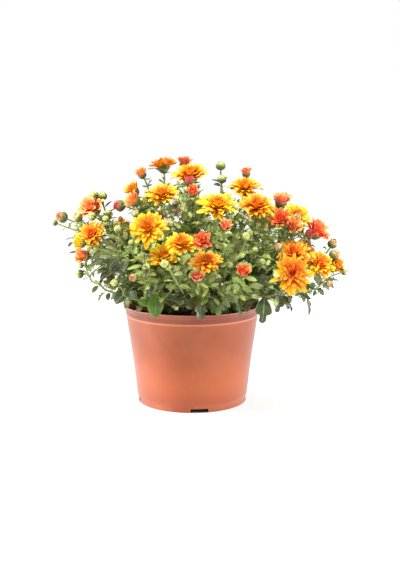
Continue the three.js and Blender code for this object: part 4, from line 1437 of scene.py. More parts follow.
# The leaves that sit on its stems, in the same columns.
STEM_LEAVES = {
    "left": (
        (-114, -51, 153, -8, -1, -7, 3, 0.6, SLIM), (-99, -51, 146, -3, -1, -10, 3.6, 0.7, ROUND),
        (-111, -51, 157, 5, -1, 5, 2.5, 0.4, SLIM), (-99, -80, 194, -14, -2, -1, 4.2, 0.95, ROUND),
        (-87, -82, 184, -13, -2, -1, 4.6, 1, ROUND), (-97, -78, 175, -6, -2, -9, 4.4, 1, ROUND),
        (-103, -76, 189, -11, -2, -5, 3.6, 0.6, ROUND), (-105, -70, 175, -8, -2, -3, 3, 0.8, SLIM),
        (-86, -80, 201, -11, -2, 4, 4, 0.6, LOBED), (-79, -84, 171, -9, -2, 5, 4.5, 1, ROUND),
        (-75, -90, 188, -6, -2, -11, 4.5, 0.9, ROUND), (-92, -70, 205, -11, -2, 6, 3.5, 0.4, LOBED),
        (-88, -66, 214, -12, -2, 2, 3.2, 0.4, LOBED), (-92, -84, 193, -16, -2, 2, 4.6, 0.6, LOBED),
        (-93, -82, 188, -13, -2, 1, 4.2, 0.75, ROUND), (-87, -86, 191, -8, -2, -10, 4.4, 1, ROUND),
        (-100, -78, 177, -11, -2, -2, 3.4, 0.95, ROUND), (-102, -80, 174, -3, -2, -9, 3.2, 1, ROUND),
        (-116, -70, 174, 0, -2, -7, 1.6, 0.95, SLIM), (-123, -64, 170, -5, -2, 4, 2.2, 0.3, ROUND),
        (-110, -74, 161, -6, -2, 4, 2.6, 0.25, LOBED), (-103, -80, 158, 7, -2, 2, 2.6, 0.4, LOBED),
        (-93, -74, 168, -8, -2, -5, 4, 0.9, ROUND), (-86, -80, 181, -7, -2, -8, 4.2, 1, ROUND),
        (-111, -66, 201, -8, -2, -10, 3.6, 0.5, LOBED), (-110, -68, 194, -9, -2, -8, 3.4, 0.8, ROUND),
        (-111, -68, 188, -8, -2, -8, 2.8, 0.6, LOBED), (-114, -66, 182, -8, -2, -7, 2.4, 0.4, ROUND),
        (-110, -64, 204, -6, -2, -7, 2.6, 0.3, ROUND), (-106, -20, 247, 9, -2, 9, 1.3, 0.9, SLIM),
        (-139, -58, 196, -8, -2, -1, 1.6, 0.95, SLIM), (-141, -66, 208, -5, -2, -5, 2, 0.9, ROUND),
        (-143, -60, 213, -8, -2, -2, 1, 0.9, SLIM), (-149, -30, 227, 2, -2, -4, 1.6, 0.8, SLIM)),
    "left_top": (
        (-55, -2, 279, 5, -2, 1, 1.1, 0.95, SLIM), (-54, -2, 272, 5, -2, 2, 1.2, 0.95, SLIM),
        (-57, -2, 271, -6, -2, 1, 1.2, 0.95, SLIM), (-33, 12, 287, 7, -2, 2, 0.9, 0.95, SLIM),
        (-34, 12, 281, -3, -2, 3, 1.1, 0.95, SLIM)),
    "front_left": (
        (-57, -123, 187, -16, 0, -3, 2.1, 0.3, SLIM), (-53, -124, 181, -12, 0, -3, 2.1, 0.3, SLIM),
        (-56, -125, 195, -8, -1, 5, 1.8, 0.2, SLIM), (-47, -117, 178, 5, -1, 5, 3.2, 0.25, ROUND),
        (-46, -114, 172, 10, -2, -1, 3.8, 0.3, ROUND)),
    "top": (
        (-24, -35, 271, 7, -2, 5, 1.2, 0.95, SLIM), (-18, -30, 275, 9, -2, 1, 1.1, 0.95, SLIM),
        (4, -30, 275, 7, -2, 3, 1.2, 0.95, SLIM), (5, -34, 271, 6, -2, 2, 1.3, 0.95, SLIM)),
    "front": (
        (-17, -150, 183, 9, -1, -2, 1.8, 0.05, SLIM), (12, -143, 172, 7, -2, -7, 1.8, 0.1, SLIM),
        (19, -140, 164, -6, -2, -9, 1.9, 0.1, SLIM), (21, -134, 171, 8, -2, 9, 2.6, 0.25, ROUND),
        (23, -134, 167, 9, -2, 2, 2.4, 0.2, SLIM), (29, -126, 159, 8, -2, -5, 2.8, 0.35, LOBED),
        (-13, -134, 167, 11, -2, -4, 2.6, 0.2, ROUND), (6, -128, 161, -7, -2, -7, 3.2, 0.6, ROUND),
        (26, -118, 149, 6, -2, -5, 2.6, 0.3, LOBED), (30, -108, 145, 8, -2, -11, 3, 0.55, ROUND)),
    "front_right": (
        (66, -130, 176, 8, -2, -4, 2.6, 0.15, ROUND), (58, -126, 161, 9, -2, -5, 3, 0.2, ROUND),
        (67, -122, 164, 14, -2, 2, 3.4, 0.35, SLIM), (55, -128, 168, -6, -2, 6, 2.8, 0.15, ROUND),
        (55, -126, 162, -7, -2, -5, 3, 0.2, LOBED), (55, -124, 155, 6, -2, -7, 2.8, 0.2, LOBED),
        (62, -130, 173, -4, -2, -8, 2.6, 0.25, SLIM), (46, -126, 166, -7, -2, -5, 2.8, 0.3, LOBED),
        (70, -112, 152, 7, -2, -3, 3, 0.4, SLIM), (35, -112, 151, 8, -2, -13, 3.4, 0.5, LOBED),
        (46, -110, 153, 6, -2, -10, 3.2, 0.45, ROUND)),
    "top_right": (
        (34, 9, 292, -5, -2, 2, 0.9, 0.95, SLIM), (33, -10, 278, -10, -2, 2, 1.3, 0.95, SLIM),
        (33, -12, 272, -7, -2, 2, 2.6, 0.95, ROUND), (35, -12, 270, 6, -2, 2, 1.2, 0.9, SLIM),
        (38, -10, 276, 5, -2, 2, 1.1, 0.9, SLIM), (53, -25, 268, -8, -2, 2, 1.7, 0.95, SLIM)),
    "right_front": (
        (84, -92, 172, -7, -2, -10, 4.2, 0.95, ROUND), (90, -86, 162, -7, -2, -8, 4.4, 0.95, LOBED),
        (94, -84, 171, -4, -2, -10, 3.6, 1, ROUND), (100, -80, 156, -9, -2, -6, 3.6, 0.95, LOBED)),
    "right": (
        (151, -79, 160, -7, -1, 10, 3.6, 0.95, SLIM), (147, -80, 157, -10, 0, 4, 3.6, 0.95, LOBED),
        (148, -80, 155, 8, 0, -8, 4.2, 0.8, LOBED), (146, -80, 152, -2, 0, -6, 2, 0.8, SLIM),
        (160, -74, 159, 3, 0, -5, 1.7, 0.9, SLIM), (165, -73, 159, 4, 0, -6, 1.7, 0.9, SLIM),
        (147, -66, 159, -12, -2, -7, 3.8, 0.95, LOBED), (145, -64, 154, -8, -2, 5, 3, 1, ROUND),
        (148, -66, 165, 8, -2, -7, 3.2, 1, ROUND), (148, -60, 152, 10, -2, -5, 3.2, 0.9, LOBED),
        (165, -50, 157, 2, -2, -5, 1.3, 0.95, SLIM), (150, -74, 168, -5, -2, 6, 2.4, 0.9, ROUND),
        (120, -64, 144, -6, -2, -6, 3.2, 0.9, LOBED), (155, -15, 217, 6, -2, -4, 1.3, 0.9, SLIM),
        (167, -12, 195, -5, -2, 2, 1.3, 0.95, SLIM), (174, -26, 180, -5, -2, 4, 1.2, 0.9, SLIM),
        (177, -30, 159, 3, -2, -3, 1, 0.95, SLIM)),
}

# The tips of the short leafy twigs that fill the plant between its upper heads.
UPPER_TWIGS = {
    "top": ((-15, -56, 274), (8, -58, 272), (-4, -62, 264), (-10, -66, 255)),
    "top_right": ((4, -64, 254), (50, -64, 256)),
}


@dataclass
class Flower:
    """One flower: its head or bud, and the stem that carries it."""

    shoot: str
    middle: Array
    radius: float
    direction: Array
    stage: Stage
    tint: Tint
    number: int = 0

    @staticmethod
    def planned(shoot: str, row: tuple) -> "Flower":
        """A flower from a row of a shoot's table."""
        x, y, z, width, bearing, rise, stage, tint = row
        middle = np.array([x, y, z]) * MM
        return Flower(shoot, middle, width * MM / 2, heading(bearing, rise), stage, tint)

    @property
    def course(self) -> Array:
        """The places that the stem passes on its way up, or none."""
        places = COURSES.get(tuple(int(round(v / MM)) for v in self.middle), ())
        return np.array(places[::-1], float).reshape(-1, 3) * MM

    @property
    def base(self) -> Array:
        """Where the head sits on its calyx, or the foot of a bud."""
        return self.middle - self.direction * HEAD_LIFT[self.stage] * self.radius

    @property
    def calyx(self) -> Calyx:
        """The calyx under an open or half-open head."""
        return SAUCER_CALYX if self.stage is OPEN else CUP_CALYX

    @property
    def stem_end(self) -> Array:
        """Where the bare stem ends."""
        depth = 0.0 if self.stage is BUD else self.calyx.depth * self.radius
        return self.base - depth * self.direction

    def seat(self, piece: Piece, rng: Rng) -> Seat:
        """Its seat in a mesh, at the foot of a head or the middle of a bud."""
        return Seat(piece, rng, self.middle if self.stage is BUD else self.base, self.direction, self.radius)


# ---------------- foliage


@dataclass(frozen=True)
class PlacedLeaf:
    """A leaf between two places: the foot of its blade and its tip."""

    foot: Array
    tip: Array
    half_width: float
    age: float
    form: LeafForm

    @staticmethod
    def planned(row: tuple) -> "PlacedLeaf":
        """A leaf from a row of a table."""
        *places, half_width, age, form = row
        foot, way = np.array(places).reshape(2, 3)
        return PlacedLeaf(foot * MM, (foot + way) * MM, half_width * MM, age, form)


class Leaf(NamedTuple):
    """A leaf that waits to be built. Only one with a given place has a half width, an age, a tone and a form."""

    root: Array
    turned: Array
    length: float
    half_width: float = 0.0
    age: float = 0.0
    tone: float = 0.0
    form: LeafForm | None = None


@dataclass(frozen=True)
class LeafRun:
    """Leaves along a stem: from and to which shares of its length, the gap between two, and their lengths there."""

    first: float
    last: float
    gap: float
    low: float
    high: float


@dataclass(frozen=True)
class Tuft:
    """Young leaves round a twig's tip: how many, their lengths, and their angle to the twig in radians."""

    count: int
    lengths: Pair
    spread: float


@dataclass
class Foliage:
    """The leaves of one shoot, gathered before they are built. Pairs are the ranges that are drawn from.

    Fields:
        facing: How much a leaf faces up, outwards and along its stem.
        clearing: How far the room round a head reaches below, before and beside it, by its radius.
        rim_zone: The distances from the axis inside and outside the rim, and the level of its top.
        upright: What is left of the direction of a leaf that would pass through the rim.
    """

    rng: Rng
    heart: Array
    leaves: list[Leaf] = field(default_factory=list)
    heads: list[Flower] = field(default_factory=list)
    thickness: float = 0.0004
    slender: float = 0.31
    big: float = 0.024
    small: float = 0.0135
    facing: Triple = (0.9, 0.55, 0.25)
    facing_unrest: float = 0.28
    sizes: Pair = (0.78, 1.18)
    turn_unrest: float = 0.3
    spreads: Pair = (0.75, 1.25)
    clearing: Triple = (-0.4, 2.6, 1.02)
    rim_zone: Triple = (0.086, 0.073, 0.134)
    upright: Triple = (0.2, 0.2, 0.0)
    stalk_share: float = 0.24
    placed_rise: Triple = (24.0, 4.0, -26.0)
    placed_lift: float = 0.5
    placed_unrest: float = 0.12
    old_tones: Pair = (0.08, 0.36)
    young_tones: Pair = (0.55, 0.85)
    young_age: float = 0.3
    droops: Pair = (8, 45)
    middle_droop: float = 0.2
    rises: Pair = (2, 26)
    widths: Pair = (0.85, 1.12)
    cups: Pair = (0.05, 0.55)
    ripples: Pair = (0.0, 0.16)
    sway: float = 0.06
    twist: float = 0.2
    old_level: float = 0.215
    old_depth: float = 0.1
    oldest: float = 0.85
    age_unrest: Pair = (0.05, 0.12)

    def leaf(self, root: Array, axis: Array, angle: float, length: float, spread: float) -> None:
        """Adds a leaf.

        Args:
            root: Where it leaves its stem.
            axis: The stem's direction there.
            angle: Its turn about the stem.
            length: Its length with its stalk.
            spread: Its angle to the stem, in radians.
        """
        side = unit(np.cross(UP, axis) + 1e-6)
        other = np.cross(axis, side)
        side = side * math.cos(angle) + other * math.sin(angle)
        grow = unit(side * math.sin(spread) + axis * math.cos(spread))
        if any(self._covers(root + grow * length * share, head) for head in self.heads for share in (0.5, 1.0)):
            return
        if self._meets_rim(root, root + grow * length):
            grow = unit(grow * self.upright + UP)
        up, out, along = self.facing
        face = UP * up + unit(root - self.heart) * out + axis * along + self.rng.normal(0, self.facing_unrest, 3)
        across = unit(np.cross(face, grow))
        self.leaves.append(Leaf(root, np.column_stack([grow, across, np.cross(grow, across)]), length))

    def _meets_rim(self, root: Array, tip: Array) -> bool:
        """Whether a leaf that starts inside the pot would pass through its wall."""
        inside, wall, level = self.rim_zone
        starts_inside = math.hypot(root[0], root[1]) < inside
        return starts_inside and math.hypot(tip[0], tip[1]) > wall and tip[2] < level

    def _covers(self, place: Array, head: Flower) -> bool:
        """Whether a place lies in a head or just in front of it."""
        low, high, wide = self.clearing
        offset = place - head.middle
        ahead = float(np.dot(offset, head.direction))
        aside = float(np.linalg.norm(offset - ahead * head.direction))
        return low * head.radius < ahead < high * head.radius and aside < wide * head.radius

    def along(self, path: Array, run: LeafRun) -> None:
        """Adds a run of leaves in a spiral along a stem."""
        length = float(np.linalg.norm(np.diff(path, axis=0), axis=1).sum())
        many = max(1, round(length * (run.last - run.first) / run.gap))
        turn = TURN * self.rng.random()
        for i in range(many):
            share = (i + 0.5 * self.rng.random()) / many
            root, axis = walk(path, run.first + (run.last - run.first) * share)
            size = (run.low + (run.high - run.low) * share) * self.rng.uniform(*self.sizes)
            angle = turn + self.rng.normal(0, self.turn_unrest)
            self.leaf(root, axis, angle, size, self.rng.uniform(*self.spreads))
            turn += GOLDEN_ANGLE

    def tuft(self, tip: Array, axis: Array, tuft: Tuft, scale: float = 1.0) -> None:
        """Adds a tuft of young leaves at the tip of a twig, with their lengths scaled."""
        for k in range(tuft.count):
            self.leaf(tip, axis, k * GOLDEN_ANGLE, scale * self.rng.uniform(*tuft.lengths), tuft.spread)

    def hang(self, root: Array, leaf: PlacedLeaf, facing: Array) -> None:
        """Adds a leaf at a given place, with the root of its stalk and the way it faces apart from upwards."""
        grow = unit(leaf.tip - root)
        face = facing + UP * self.placed_lift + self.rng.normal(0, self.placed_unrest, 3)
        across = unit(np.cross(face, grow))
        turned = np.column_stack([grow, across, np.cross(grow, across)])
        tone = self.rng.uniform(*(self.young_tones if leaf.age <= self.young_age else self.old_tones))
        length = float(np.linalg.norm(leaf.tip - root))
        self.leaves.append(Leaf(root, turned, length, leaf.half_width, leaf.age, tone, leaf.form))

    def build(self, piece: Piece, finish: int) -> None:
        """Builds the leaves, the larger ones with more lobes."""
        for form in LeafForm:
            placed = [leaf for leaf in self.leaves if leaf.form is form]
            if placed:
                blades = self._blades(placed)
                blades.width, blades.age, blades.tone = (np.array(v) for v in list(zip(*placed))[3:6])
                blades.rise = np.tile(self.placed_rise, (len(placed), 1))
                piece.blades(form.value, blades, self.thickness, finish)
        for outline, low, high in (
            (SMALL_LEAF_OUTLINE, 0, self.small), (LEAF_OUTLINE, self.small, self.big),
            (BIG_LEAF_OUTLINE, self.big, math.inf),
        ):
            grown = [leaf for leaf in self.leaves if leaf.form is None and low <= leaf.length < high]
            if grown:
                piece.blades(outline, self._blades(grown), self.thickness, finish)

    def _blades(self, leaves: Sequence[Leaf]) -> Blades:
        """The leaves as blades."""
        rng, n = self.rng, len(leaves)
        root, turned, length = (np.array(v) for v in list(zip(*leaves))[:3])
        droop = rng.uniform(*self.droops, n)
        rise = np.stack([rng.uniform(*self.rises, n), -self.middle_droop * droop, -droop], axis=-1)
        depth = np.clip((self.old_level - root[:, 2]) / self.old_depth, 0, 1)
        return Blades(
            root=root, turned=turned, length=length, width=length * self.slender * rng.uniform(*self.widths, n),
            rise=rise, cup=rng.uniform(*self.cups, n), sway=rng.normal(0, self.sway, n),
            twist=rng.normal(0, self.twist, n), ripple=rng.uniform(*self.ripples, n), tone=rng.random(n),
            age=np.clip(depth * self.oldest + rng.normal(*self.age_unrest, n), 0, 1),
        )


@dataclass
class Dome:
    """The rounded outside of the bush. Twigs end between the sines of two rises, but not low on the left."""

    centre: Triple = (0.010, 0.0, 0.146)
    reach: Triple = (0.136, 0.116, 0.109)
    top: float = 0.97
    foot: float = -0.12
    bare: Pair = (-0.098, 0.166)

    def way(self, i: int, count: int) -> Array:
        """The direction of a twig's end from the centre."""
        sine = self.top + (self.foot - self.top) * (i + 0.5) / count
        level = math.sqrt(1 - sine * sine)
        return np.array([level * math.sin(i * GOLDEN_ANGLE), level * math.cos(i * GOLDEN_ANGLE), sine])


@dataclass(frozen=True)
class Stem:
    """A kind of stem: its radius, how that changes from its foot to its tip, its sides, its age and its ridges."""

    radius: float
    taper: Pair
    sides: int
    age: float
    ridges: float = 0.0

    def add(self, piece: Piece, path: Array, tone: float) -> None:
        """Adds a stem of this kind along a path."""
        radii = np.linspace(*self.taper, len(path)) * self.radius
        piece.tube(path, radii, self.sides, 1, tone, self.age, self.ridges)


@dataclass(frozen=True)
class Skirt:
    """The leaves that lean out just over the rim: how many a shoot has, and the ranges that they are drawn from."""

    count: int = 6
    bearings: Pair = (-26, 26)
    distances: Pair = (0.066, 0.084)
    heights: Pair = (0.139, 0.153)
    lengths: Pair = (0.014, 0.024)
    sideways: float = 16.0
    rises: Pair = (-22, 12)
    slender: Pair = (0.34, 0.46)
    ages: Pair = (0.5, 1.0)

    def leaf(self, bearing: float, rng: Rng) -> PlacedLeaf:
        """One leaf of a shoot at a bearing."""
        around = bearing + rng.uniform(*self.bearings)
        foot = heading(around, 0) * rng.uniform(*self.distances) + UP * rng.uniform(*self.heights)
        length = rng.uniform(*self.lengths)
        tip = foot + heading(around + rng.normal(0, self.sideways), rng.uniform(*self.rises)) * length
        return PlacedLeaf(foot, tip, length * rng.uniform(*self.slender), rng.uniform(*self.ages), LOBED)


@dataclass
class LeafyShoot:
    """One shoot: its main stem, its flower stems and buds, its twigs and all their leaves.

    Flower stems are barer above airy_above, and those of heads no wider than slight in radius have no side twigs.
    A leaf at a given place sits on a stem within its grasp, and has a stalk elsewhere.
    """

    plan: ShootPlan
    rng: Rng
    soil_level: float = 0.115
    foot_depth: float = 0.0257
    collar: float = 0.003
    crown_rise: float = 0.4
    crown_lean: Pair = (0.7, 0.006)
    lowest_branch: float = 0.42
    low_start: float = 0.3
    tension: float = 0.33
    main_stem: Stem = Stem(0.0021, (1.1, 0.7), 10, 0.9, 0.1)
    main_leaves: LeafRun = LeafRun(0.35, 1.0, 0.007, 0.034, 0.026)
    flower_stem: Stem = Stem(0.0011, (1.25, 0.95), 8, 0.2, 0.12)
    low_leaves: LeafRun = LeafRun(0.1, 0.7, 0.0068, 0.026, 0.017)
    high_leaves: LeafRun = LeafRun(0.7, 0.97, 0.0055, 0.014, 0.008)
    stem_unrest: float = 0.0007
    course_unrest: float = 0.0002
    airy_above: float = 0.262
    airy_last: float = 0.6
    airy_gap: float = 2.2
    airy_reach: float = 0.58
    slight: float = 0.006
    slight_gap: float = 2.0
    twig: Stem = Stem(0.0009, (1.25, 0.6), 6, 0.3)
    twig_leaves: LeafRun = LeafRun(0.22, 0.96, 0.0068, 1.0, 0.72)
    twig_tuft: Tuft = Tuft(4, (0.3, 0.55), 0.55)
    twig_unrest: float = 0.0012
    side_twig: Stem = Stem(0.0009, (1.0, 0.7), 6, 0.1)
    side_leaves: LeafRun = LeafRun(0.15, 1.0, 0.0034, 0.017, 0.009)
    side_tuft: Tuft = Tuft(3, (0.006, 0.009), 0.5)
    side_twigs: int = 2
    side_from: Pair = (0.3, 0.82)
    side_lengths: Pair = (0.016, 0.032)
    side_handle: float = 0.006
    side_way: Pair = (0.9, 0.3)
    bud_stem: Stem = Stem(0.0009, (1.0, 0.8), 6, 0.1)
    bud_leaves: LeafRun = LeafRun(0.15, 0.97, 0.005, 0.015, 0.007)
    bud_drop: float = 0.012
    bud_tension: Pair = (0.4, 0.3)
    bud_lift: float = 0.01
    rim_stalk: Stem = Stem(0.0009, (1.0, 1.0), 6, 0.2)
    over_rim: float = 0.024
    rim_handle: float = 0.012
    short_stalk: Stem = Stem(0.0009, (0.7, 0.5), 5, 0.2)
    short_bend: Triple = (0.3, 0.001, 0.002)
    grasp: float = 0.007
    placed_way: Triple = (0.45, 1.4, 0)
    placed_front: Triple = (0, 0.05, 0)
    skirt: Skirt = Skirt()
    bud: Bud = field(default_factory=Bud)
    flowers: list[Flower] = field(default_factory=list)
    small_buds: list[Flower] = field(default_factory=list)
    stems: list[Array] = field(default_factory=list)

    def __post_init__(self) -> None:
        """Lays out the main stem and starts the mesh."""
        self.piece = Piece(f"leafy_shoot_{self.plan.name}")
        self.foliage = Foliage(self.rng, np.array([0.0, 0.0, self.soil_level]))
        self.crown = np.array(self.plan.crown) * MM
        collar = heading(self.plan.bearing, 0) * self.plan.distance * MM + UP * (self.soil_level + self.collar)
        rise = collar + UP * (self.crown_rise * (self.crown[2] - collar[2]))
        lean = collar + self.crown_lean[0] * (self.crown - collar) + UP * self.crown_lean[1]
        foot = collar - UP * (self.collar + self.foot_depth)
        self.path = np.vstack([foot, bezier(collar, rise, lean, self.crown, 12)])

    @property
    def low_root(self) -> Array:
        """Where stems that stand free and stalks at the rim leave the main stem."""
        return walk(self.path, self.low_start)[0]

    def branch(self, end: Array, direction: Array, share: float, steps: int = 10) -> Array:
        """The path of a branch that leaves the main stem at a share of its length."""
        root, axis = walk(self.path, share)
        reach = float(np.linalg.norm(end - root))
        away = unit(unit(end - root) + axis)
        return bezier(root, root + away * self.tension * reach, end - direction * self.tension * reach, end, steps)

    def add_twig(self, end: Array, way: Array, share: float, leaf: float) -> None:
        """Adds a leafy twig with a tuft of young leaves at its tip.

        Args:
            end: Its tip.
            way: Its direction there.
            share: Where it leaves the main stem.
            leaf: The length of its lowest leaf.
        """
        path = self.branch(end, way, share, 8)
        path[1:-1] += self.rng.normal(0, self.twig_unrest, (len(path) - 2, 3))
        self.twig.add(self.piece, path, self.rng.random())
        run = self.twig_leaves
        self.foliage.along(path, replace(run, low=run.low * leaf, high=run.high * leaf))
        self.foliage.tuft(*walk(path, 1.0), self.twig_tuft, leaf)

    def build(self, materials: Sequence[Material]) -> None:
        """Builds the stems, calyces, buds and leaves, once every twig is on."""
        self.main_stem.add(self.piece, self.path, 0.4)
        self.foliage.along(self.path[1:], self.main_leaves)
        ordered = sorted(self.flowers, key=lambda flower: flower.middle[2])
        for rank, flower in enumerate(ordered):
            share = self.lowest_branch + (1 - self.lowest_branch) * rank / max(1, len(ordered) - 1)
            self._flower_stem(flower, share)
        for flower in self.small_buds:
            self._small_bud(flower)
        for row in RIM_LEAVES.get(self.plan.name, ()):
            self._rim_leaf(PlacedLeaf.planned(row))
        for row in STEM_LEAVES.get(self.plan.name, ()):
            self._stem_leaf(PlacedLeaf.planned(row))
        for _ in range(self.skirt.count):
            self._rim_leaf(self.skirt.leaf(self.plan.bearing, self.rng))
        self.foliage.build(self.piece, 0)
        self.piece.make(materials, f"shoot_{self.plan.name}")

    def _flower_stem(self, flower: Flower, share: float) -> None:
        """Adds a flower's stem with its leaves and side twigs, and its calyx or its bud."""
        airy, slight = flower.middle[2] > self.airy_above, flower.radius <= self.slight
        path, unrest = self.branch(flower.stem_end, flower.direction, share), self.stem_unrest
        if len(flower.course):
            path, unrest = self._on_course(flower), self.course_unrest
        path[2:-2] += self.rng.normal(0, unrest, (len(path) - 4, 3))
        self.stems.append(path)
        self.flower_stem.add(self.piece, path, self.rng.random())
        low, high = self.low_leaves, self.high_leaves
        self.foliage.along(path, replace(low, last=self.airy_last if airy else low.last))
        gap = high.gap * (self.slight_gap if slight else 1) * (self.airy_gap if airy else 1)
        self.foliage.along(path, replace(high, gap=gap))
        first, last = self.side_from
        for _ in range(0 if slight else self.side_twigs):
            self._side_twig(path, self.rng.uniform(first, self.airy_reach if airy else last))
        if flower.stage is BUD:
            self.bud.add(flower.seat(self.piece, self.rng), BUD_AGE[flower.tint])
        else:
            flower.calyx.add(flower.seat(self.piece, self.rng))

    def _on_course(self, flower: Flower) -> Array:
        """The path of a stem that passes the places of its course."""
        return threaded(np.vstack([self.low_root, flower.course, flower.stem_end]), 4)

    def _side_twig(self, stem: Array, share: float) -> None:
        """Adds a short leafy twig to a flower stem."""
        root, axis = walk(stem, share)
        way = unit(unit(self.rng.normal(size=3)) * self.side_way[0] + axis + UP * self.side_way[1])
        end = root + way * self.rng.uniform(*self.side_lengths)
        path = bezier(root, root + axis * self.side_handle, end - UP * self.side_handle, end, 5)
        self.side_twig.add(self.piece, path, self.rng.random())
        self.foliage.along(path, self.side_leaves)
        self.foliage.tuft(end, UP, self.side_tuft)

    def _small_bud(self, flower: Flower) -> None:
        """Adds a small bud on a thin stem that leaves the nearest flower stem below it."""
        if len(flower.course):
            path = self._on_course(flower)
        else:
            nodes = np.vstack([path[2:-1] for path in self.stems] + [self.path[5:]])
            too_high = flower.middle[2] - nodes[:, 2] < self.bud_drop
            gap = np.linalg.norm(nodes - flower.middle, axis=1) + np.where(too_high, 1.0, 0.0)
            root, end = nodes[int(np.argmin(gap))], flower.stem_end
            reach = float(np.linalg.norm(end - root))
            first, last = (share * reach for share in self.bud_tension)
            away = unit(end - root + UP * self.bud_lift)
            path = bezier(root, root + away * first, end - flower.direction * last, end, 7)
        self.bud_stem.add(self.piece, path, self.rng.random())
        self.foliage.along(path, self.bud_leaves)
        self.bud.add(flower.seat(self.piece, self.rng), BUD_AGE[flower.tint])

    def _stalk_root(self, leaf: PlacedLeaf) -> Array:
        """Where the stalk of a leaf at a given place starts."""
        share = self.foliage.stalk_share
        return leaf.foot - (leaf.tip - leaf.foot) * share / (1 - share)

    def _rim_leaf(self, leaf: PlacedLeaf) -> None:
        """Adds a leaf at the rim, on a long stalk from the main stem."""
        end, root = self._stalk_root(leaf), self.low_root
        self.foliage.hang(end, leaf, unit((leaf.foot + leaf.tip) / 2 * self.placed_way))
        path = bezier(root, root + UP * self.over_rim, end - unit(leaf.tip - end) * self.rim_handle, end, 8)
        self.rim_stalk.add(self.piece, path, self.rng.random())

    def _stem_leaf(self, leaf: PlacedLeaf) -> None:
        """Adds a leaf on the nearest stem, with a short stalk if that is out of its reach."""
        end = self._stalk_root(leaf)
        nodes = np.vstack([np.linspace(path[:-1], path[1:], 6).reshape(-1, 3) for path in self.stems])
        away = np.linalg.norm(nodes - end, axis=1)
        nearest = nodes[int(np.argmin(away))]
        if away.min() < self.grasp:
            end = nearest
        else:
            share, lift, back = self.short_bend
            first, last = nearest + (end - nearest) * share + UP * lift, end - unit(leaf.tip - end) * back
            self.short_stalk.add(self.piece, bezier(nearest, first, last, end, 4), 0.5)
        way = (leaf.foot + leaf.tip) / 2 * self.placed_way - np.array(self.placed_front)
        self.foliage.hang(end, leaf, unit(way))


@dataclass
class Chrysanthemum:
    """The whole plant: twelve leafy shoots with their flowers, and leafy twigs that end on a dome or inside it."""

    outer_twigs: int = 30
    inner_twigs: int = 84
    inner_reach: Pair = (0.6, 0.96)
    lowest_twig: float = 0.3
    highest_twig: float = 0.9
    twig_leaf: Pair = (0.030, 0.010)
    upper_leaf: float = 0.015
    open_bloom: OpenBloom = field(default_factory=OpenBloom)
    half_open_bloom: HalfOpenBloom = field(default_factory=HalfOpenBloom)
    dome: Dome = field(default_factory=Dome)

    def build(self, rng: Rng) -> None:
        """Builds every shoot and every head."""
        shoots = {plan.name: LeafyShoot(plan, np.random.default_rng([SEED, i])) for i, plan in enumerate(SHOOTS)}
        flowers = [Flower.planned(shoot, row) for shoot, rows in FLOWERS.items() for row in rows]
        counts: dict[tuple[str, Stage], int] = {}
        for flower in flowers:
            shoots[flower.shoot].flowers.append(flower)
            key = (flower.shoot, flower.stage)
            counts[key] = flower.number = counts.get(key, 0) + 1
        for name, shoot in shoots.items():
            shoot.foliage.heads = flowers
            for *row, tint in SMALL_BUDS.get(name, ()):
                shoot.small_buds.append(Flower.planned(name, (*row, BUD, tint)))
        self._twigs(shoots, rng, self.outer_twigs, (1.0, 1.0))
        self._twigs(shoots, rng, self.inner_twigs, self.inner_reach)
        for name, tips in UPPER_TWIGS.items():
            for tip in tips:
                shoots[name].add_twig(np.array(tip) * MM, UP, self.highest_twig, self.upper_leaf)
        materials = [finish.material() for finish in (LeafGreen(), StemGreen(), CalyxScale(), BudPetal())]
        for shoot in shoots.values():
            shoot.build(materials)
        silks = {tint: silk.material() for tint, silk in PETALS.items()}
        for flower in flowers:
            if flower.stage is not BUD:
                self._head(flower, silks[flower.tint], rng)

    def _twigs(self, shoots: Mapping[str, LeafyShoot], rng: Rng, count: int, reach: Pair) -> None:
        """Spreads leafy twigs over the dome, each on the shoot that grows that way."""
        centre = np.array(self.dome.centre)
        for i in range(count):
            way = self.dome.way(i, count)
            shoot = max(shoots.values(), key=lambda s: float(np.dot(unit(s.crown - centre), way)))
            end = centre + way * np.array(self.dome.reach) * rng.uniform(*reach)
            if end[0] < self.dome.bare[0] and end[2] < self.dome.bare[1]:
                continue
            rise = max(0.0, float(way[2]))
            share = self.lowest_twig + (self.highest_twig - self.lowest_twig) * rise
            shoot.add_twig(end, way, share, self.twig_leaf[0] - self.twig_leaf[1] * rise)

    def _head(self, flower: Flower, silk: Material, rng: Rng) -> None:
        """Builds one open or half-open head."""
        is_open = flower.stage is OPEN
        name = f"{flower.shoot}_{flower.number}"
        node = f"{'bloom' if is_open else 'half_open'}_{name}"
        piece, materials = Piece(f"petals_{node}"), [silk]
        if is_open:
            self.open_bloom.add(flower.seat(piece, rng), name)
            materials += [EyeFloret().material()] if name in self.open_bloom.eyed else []
        else:
            self.half_open_bloom.add(flower.seat(piece, rng))
        piece.make(materials, node)


# ---------------- studio


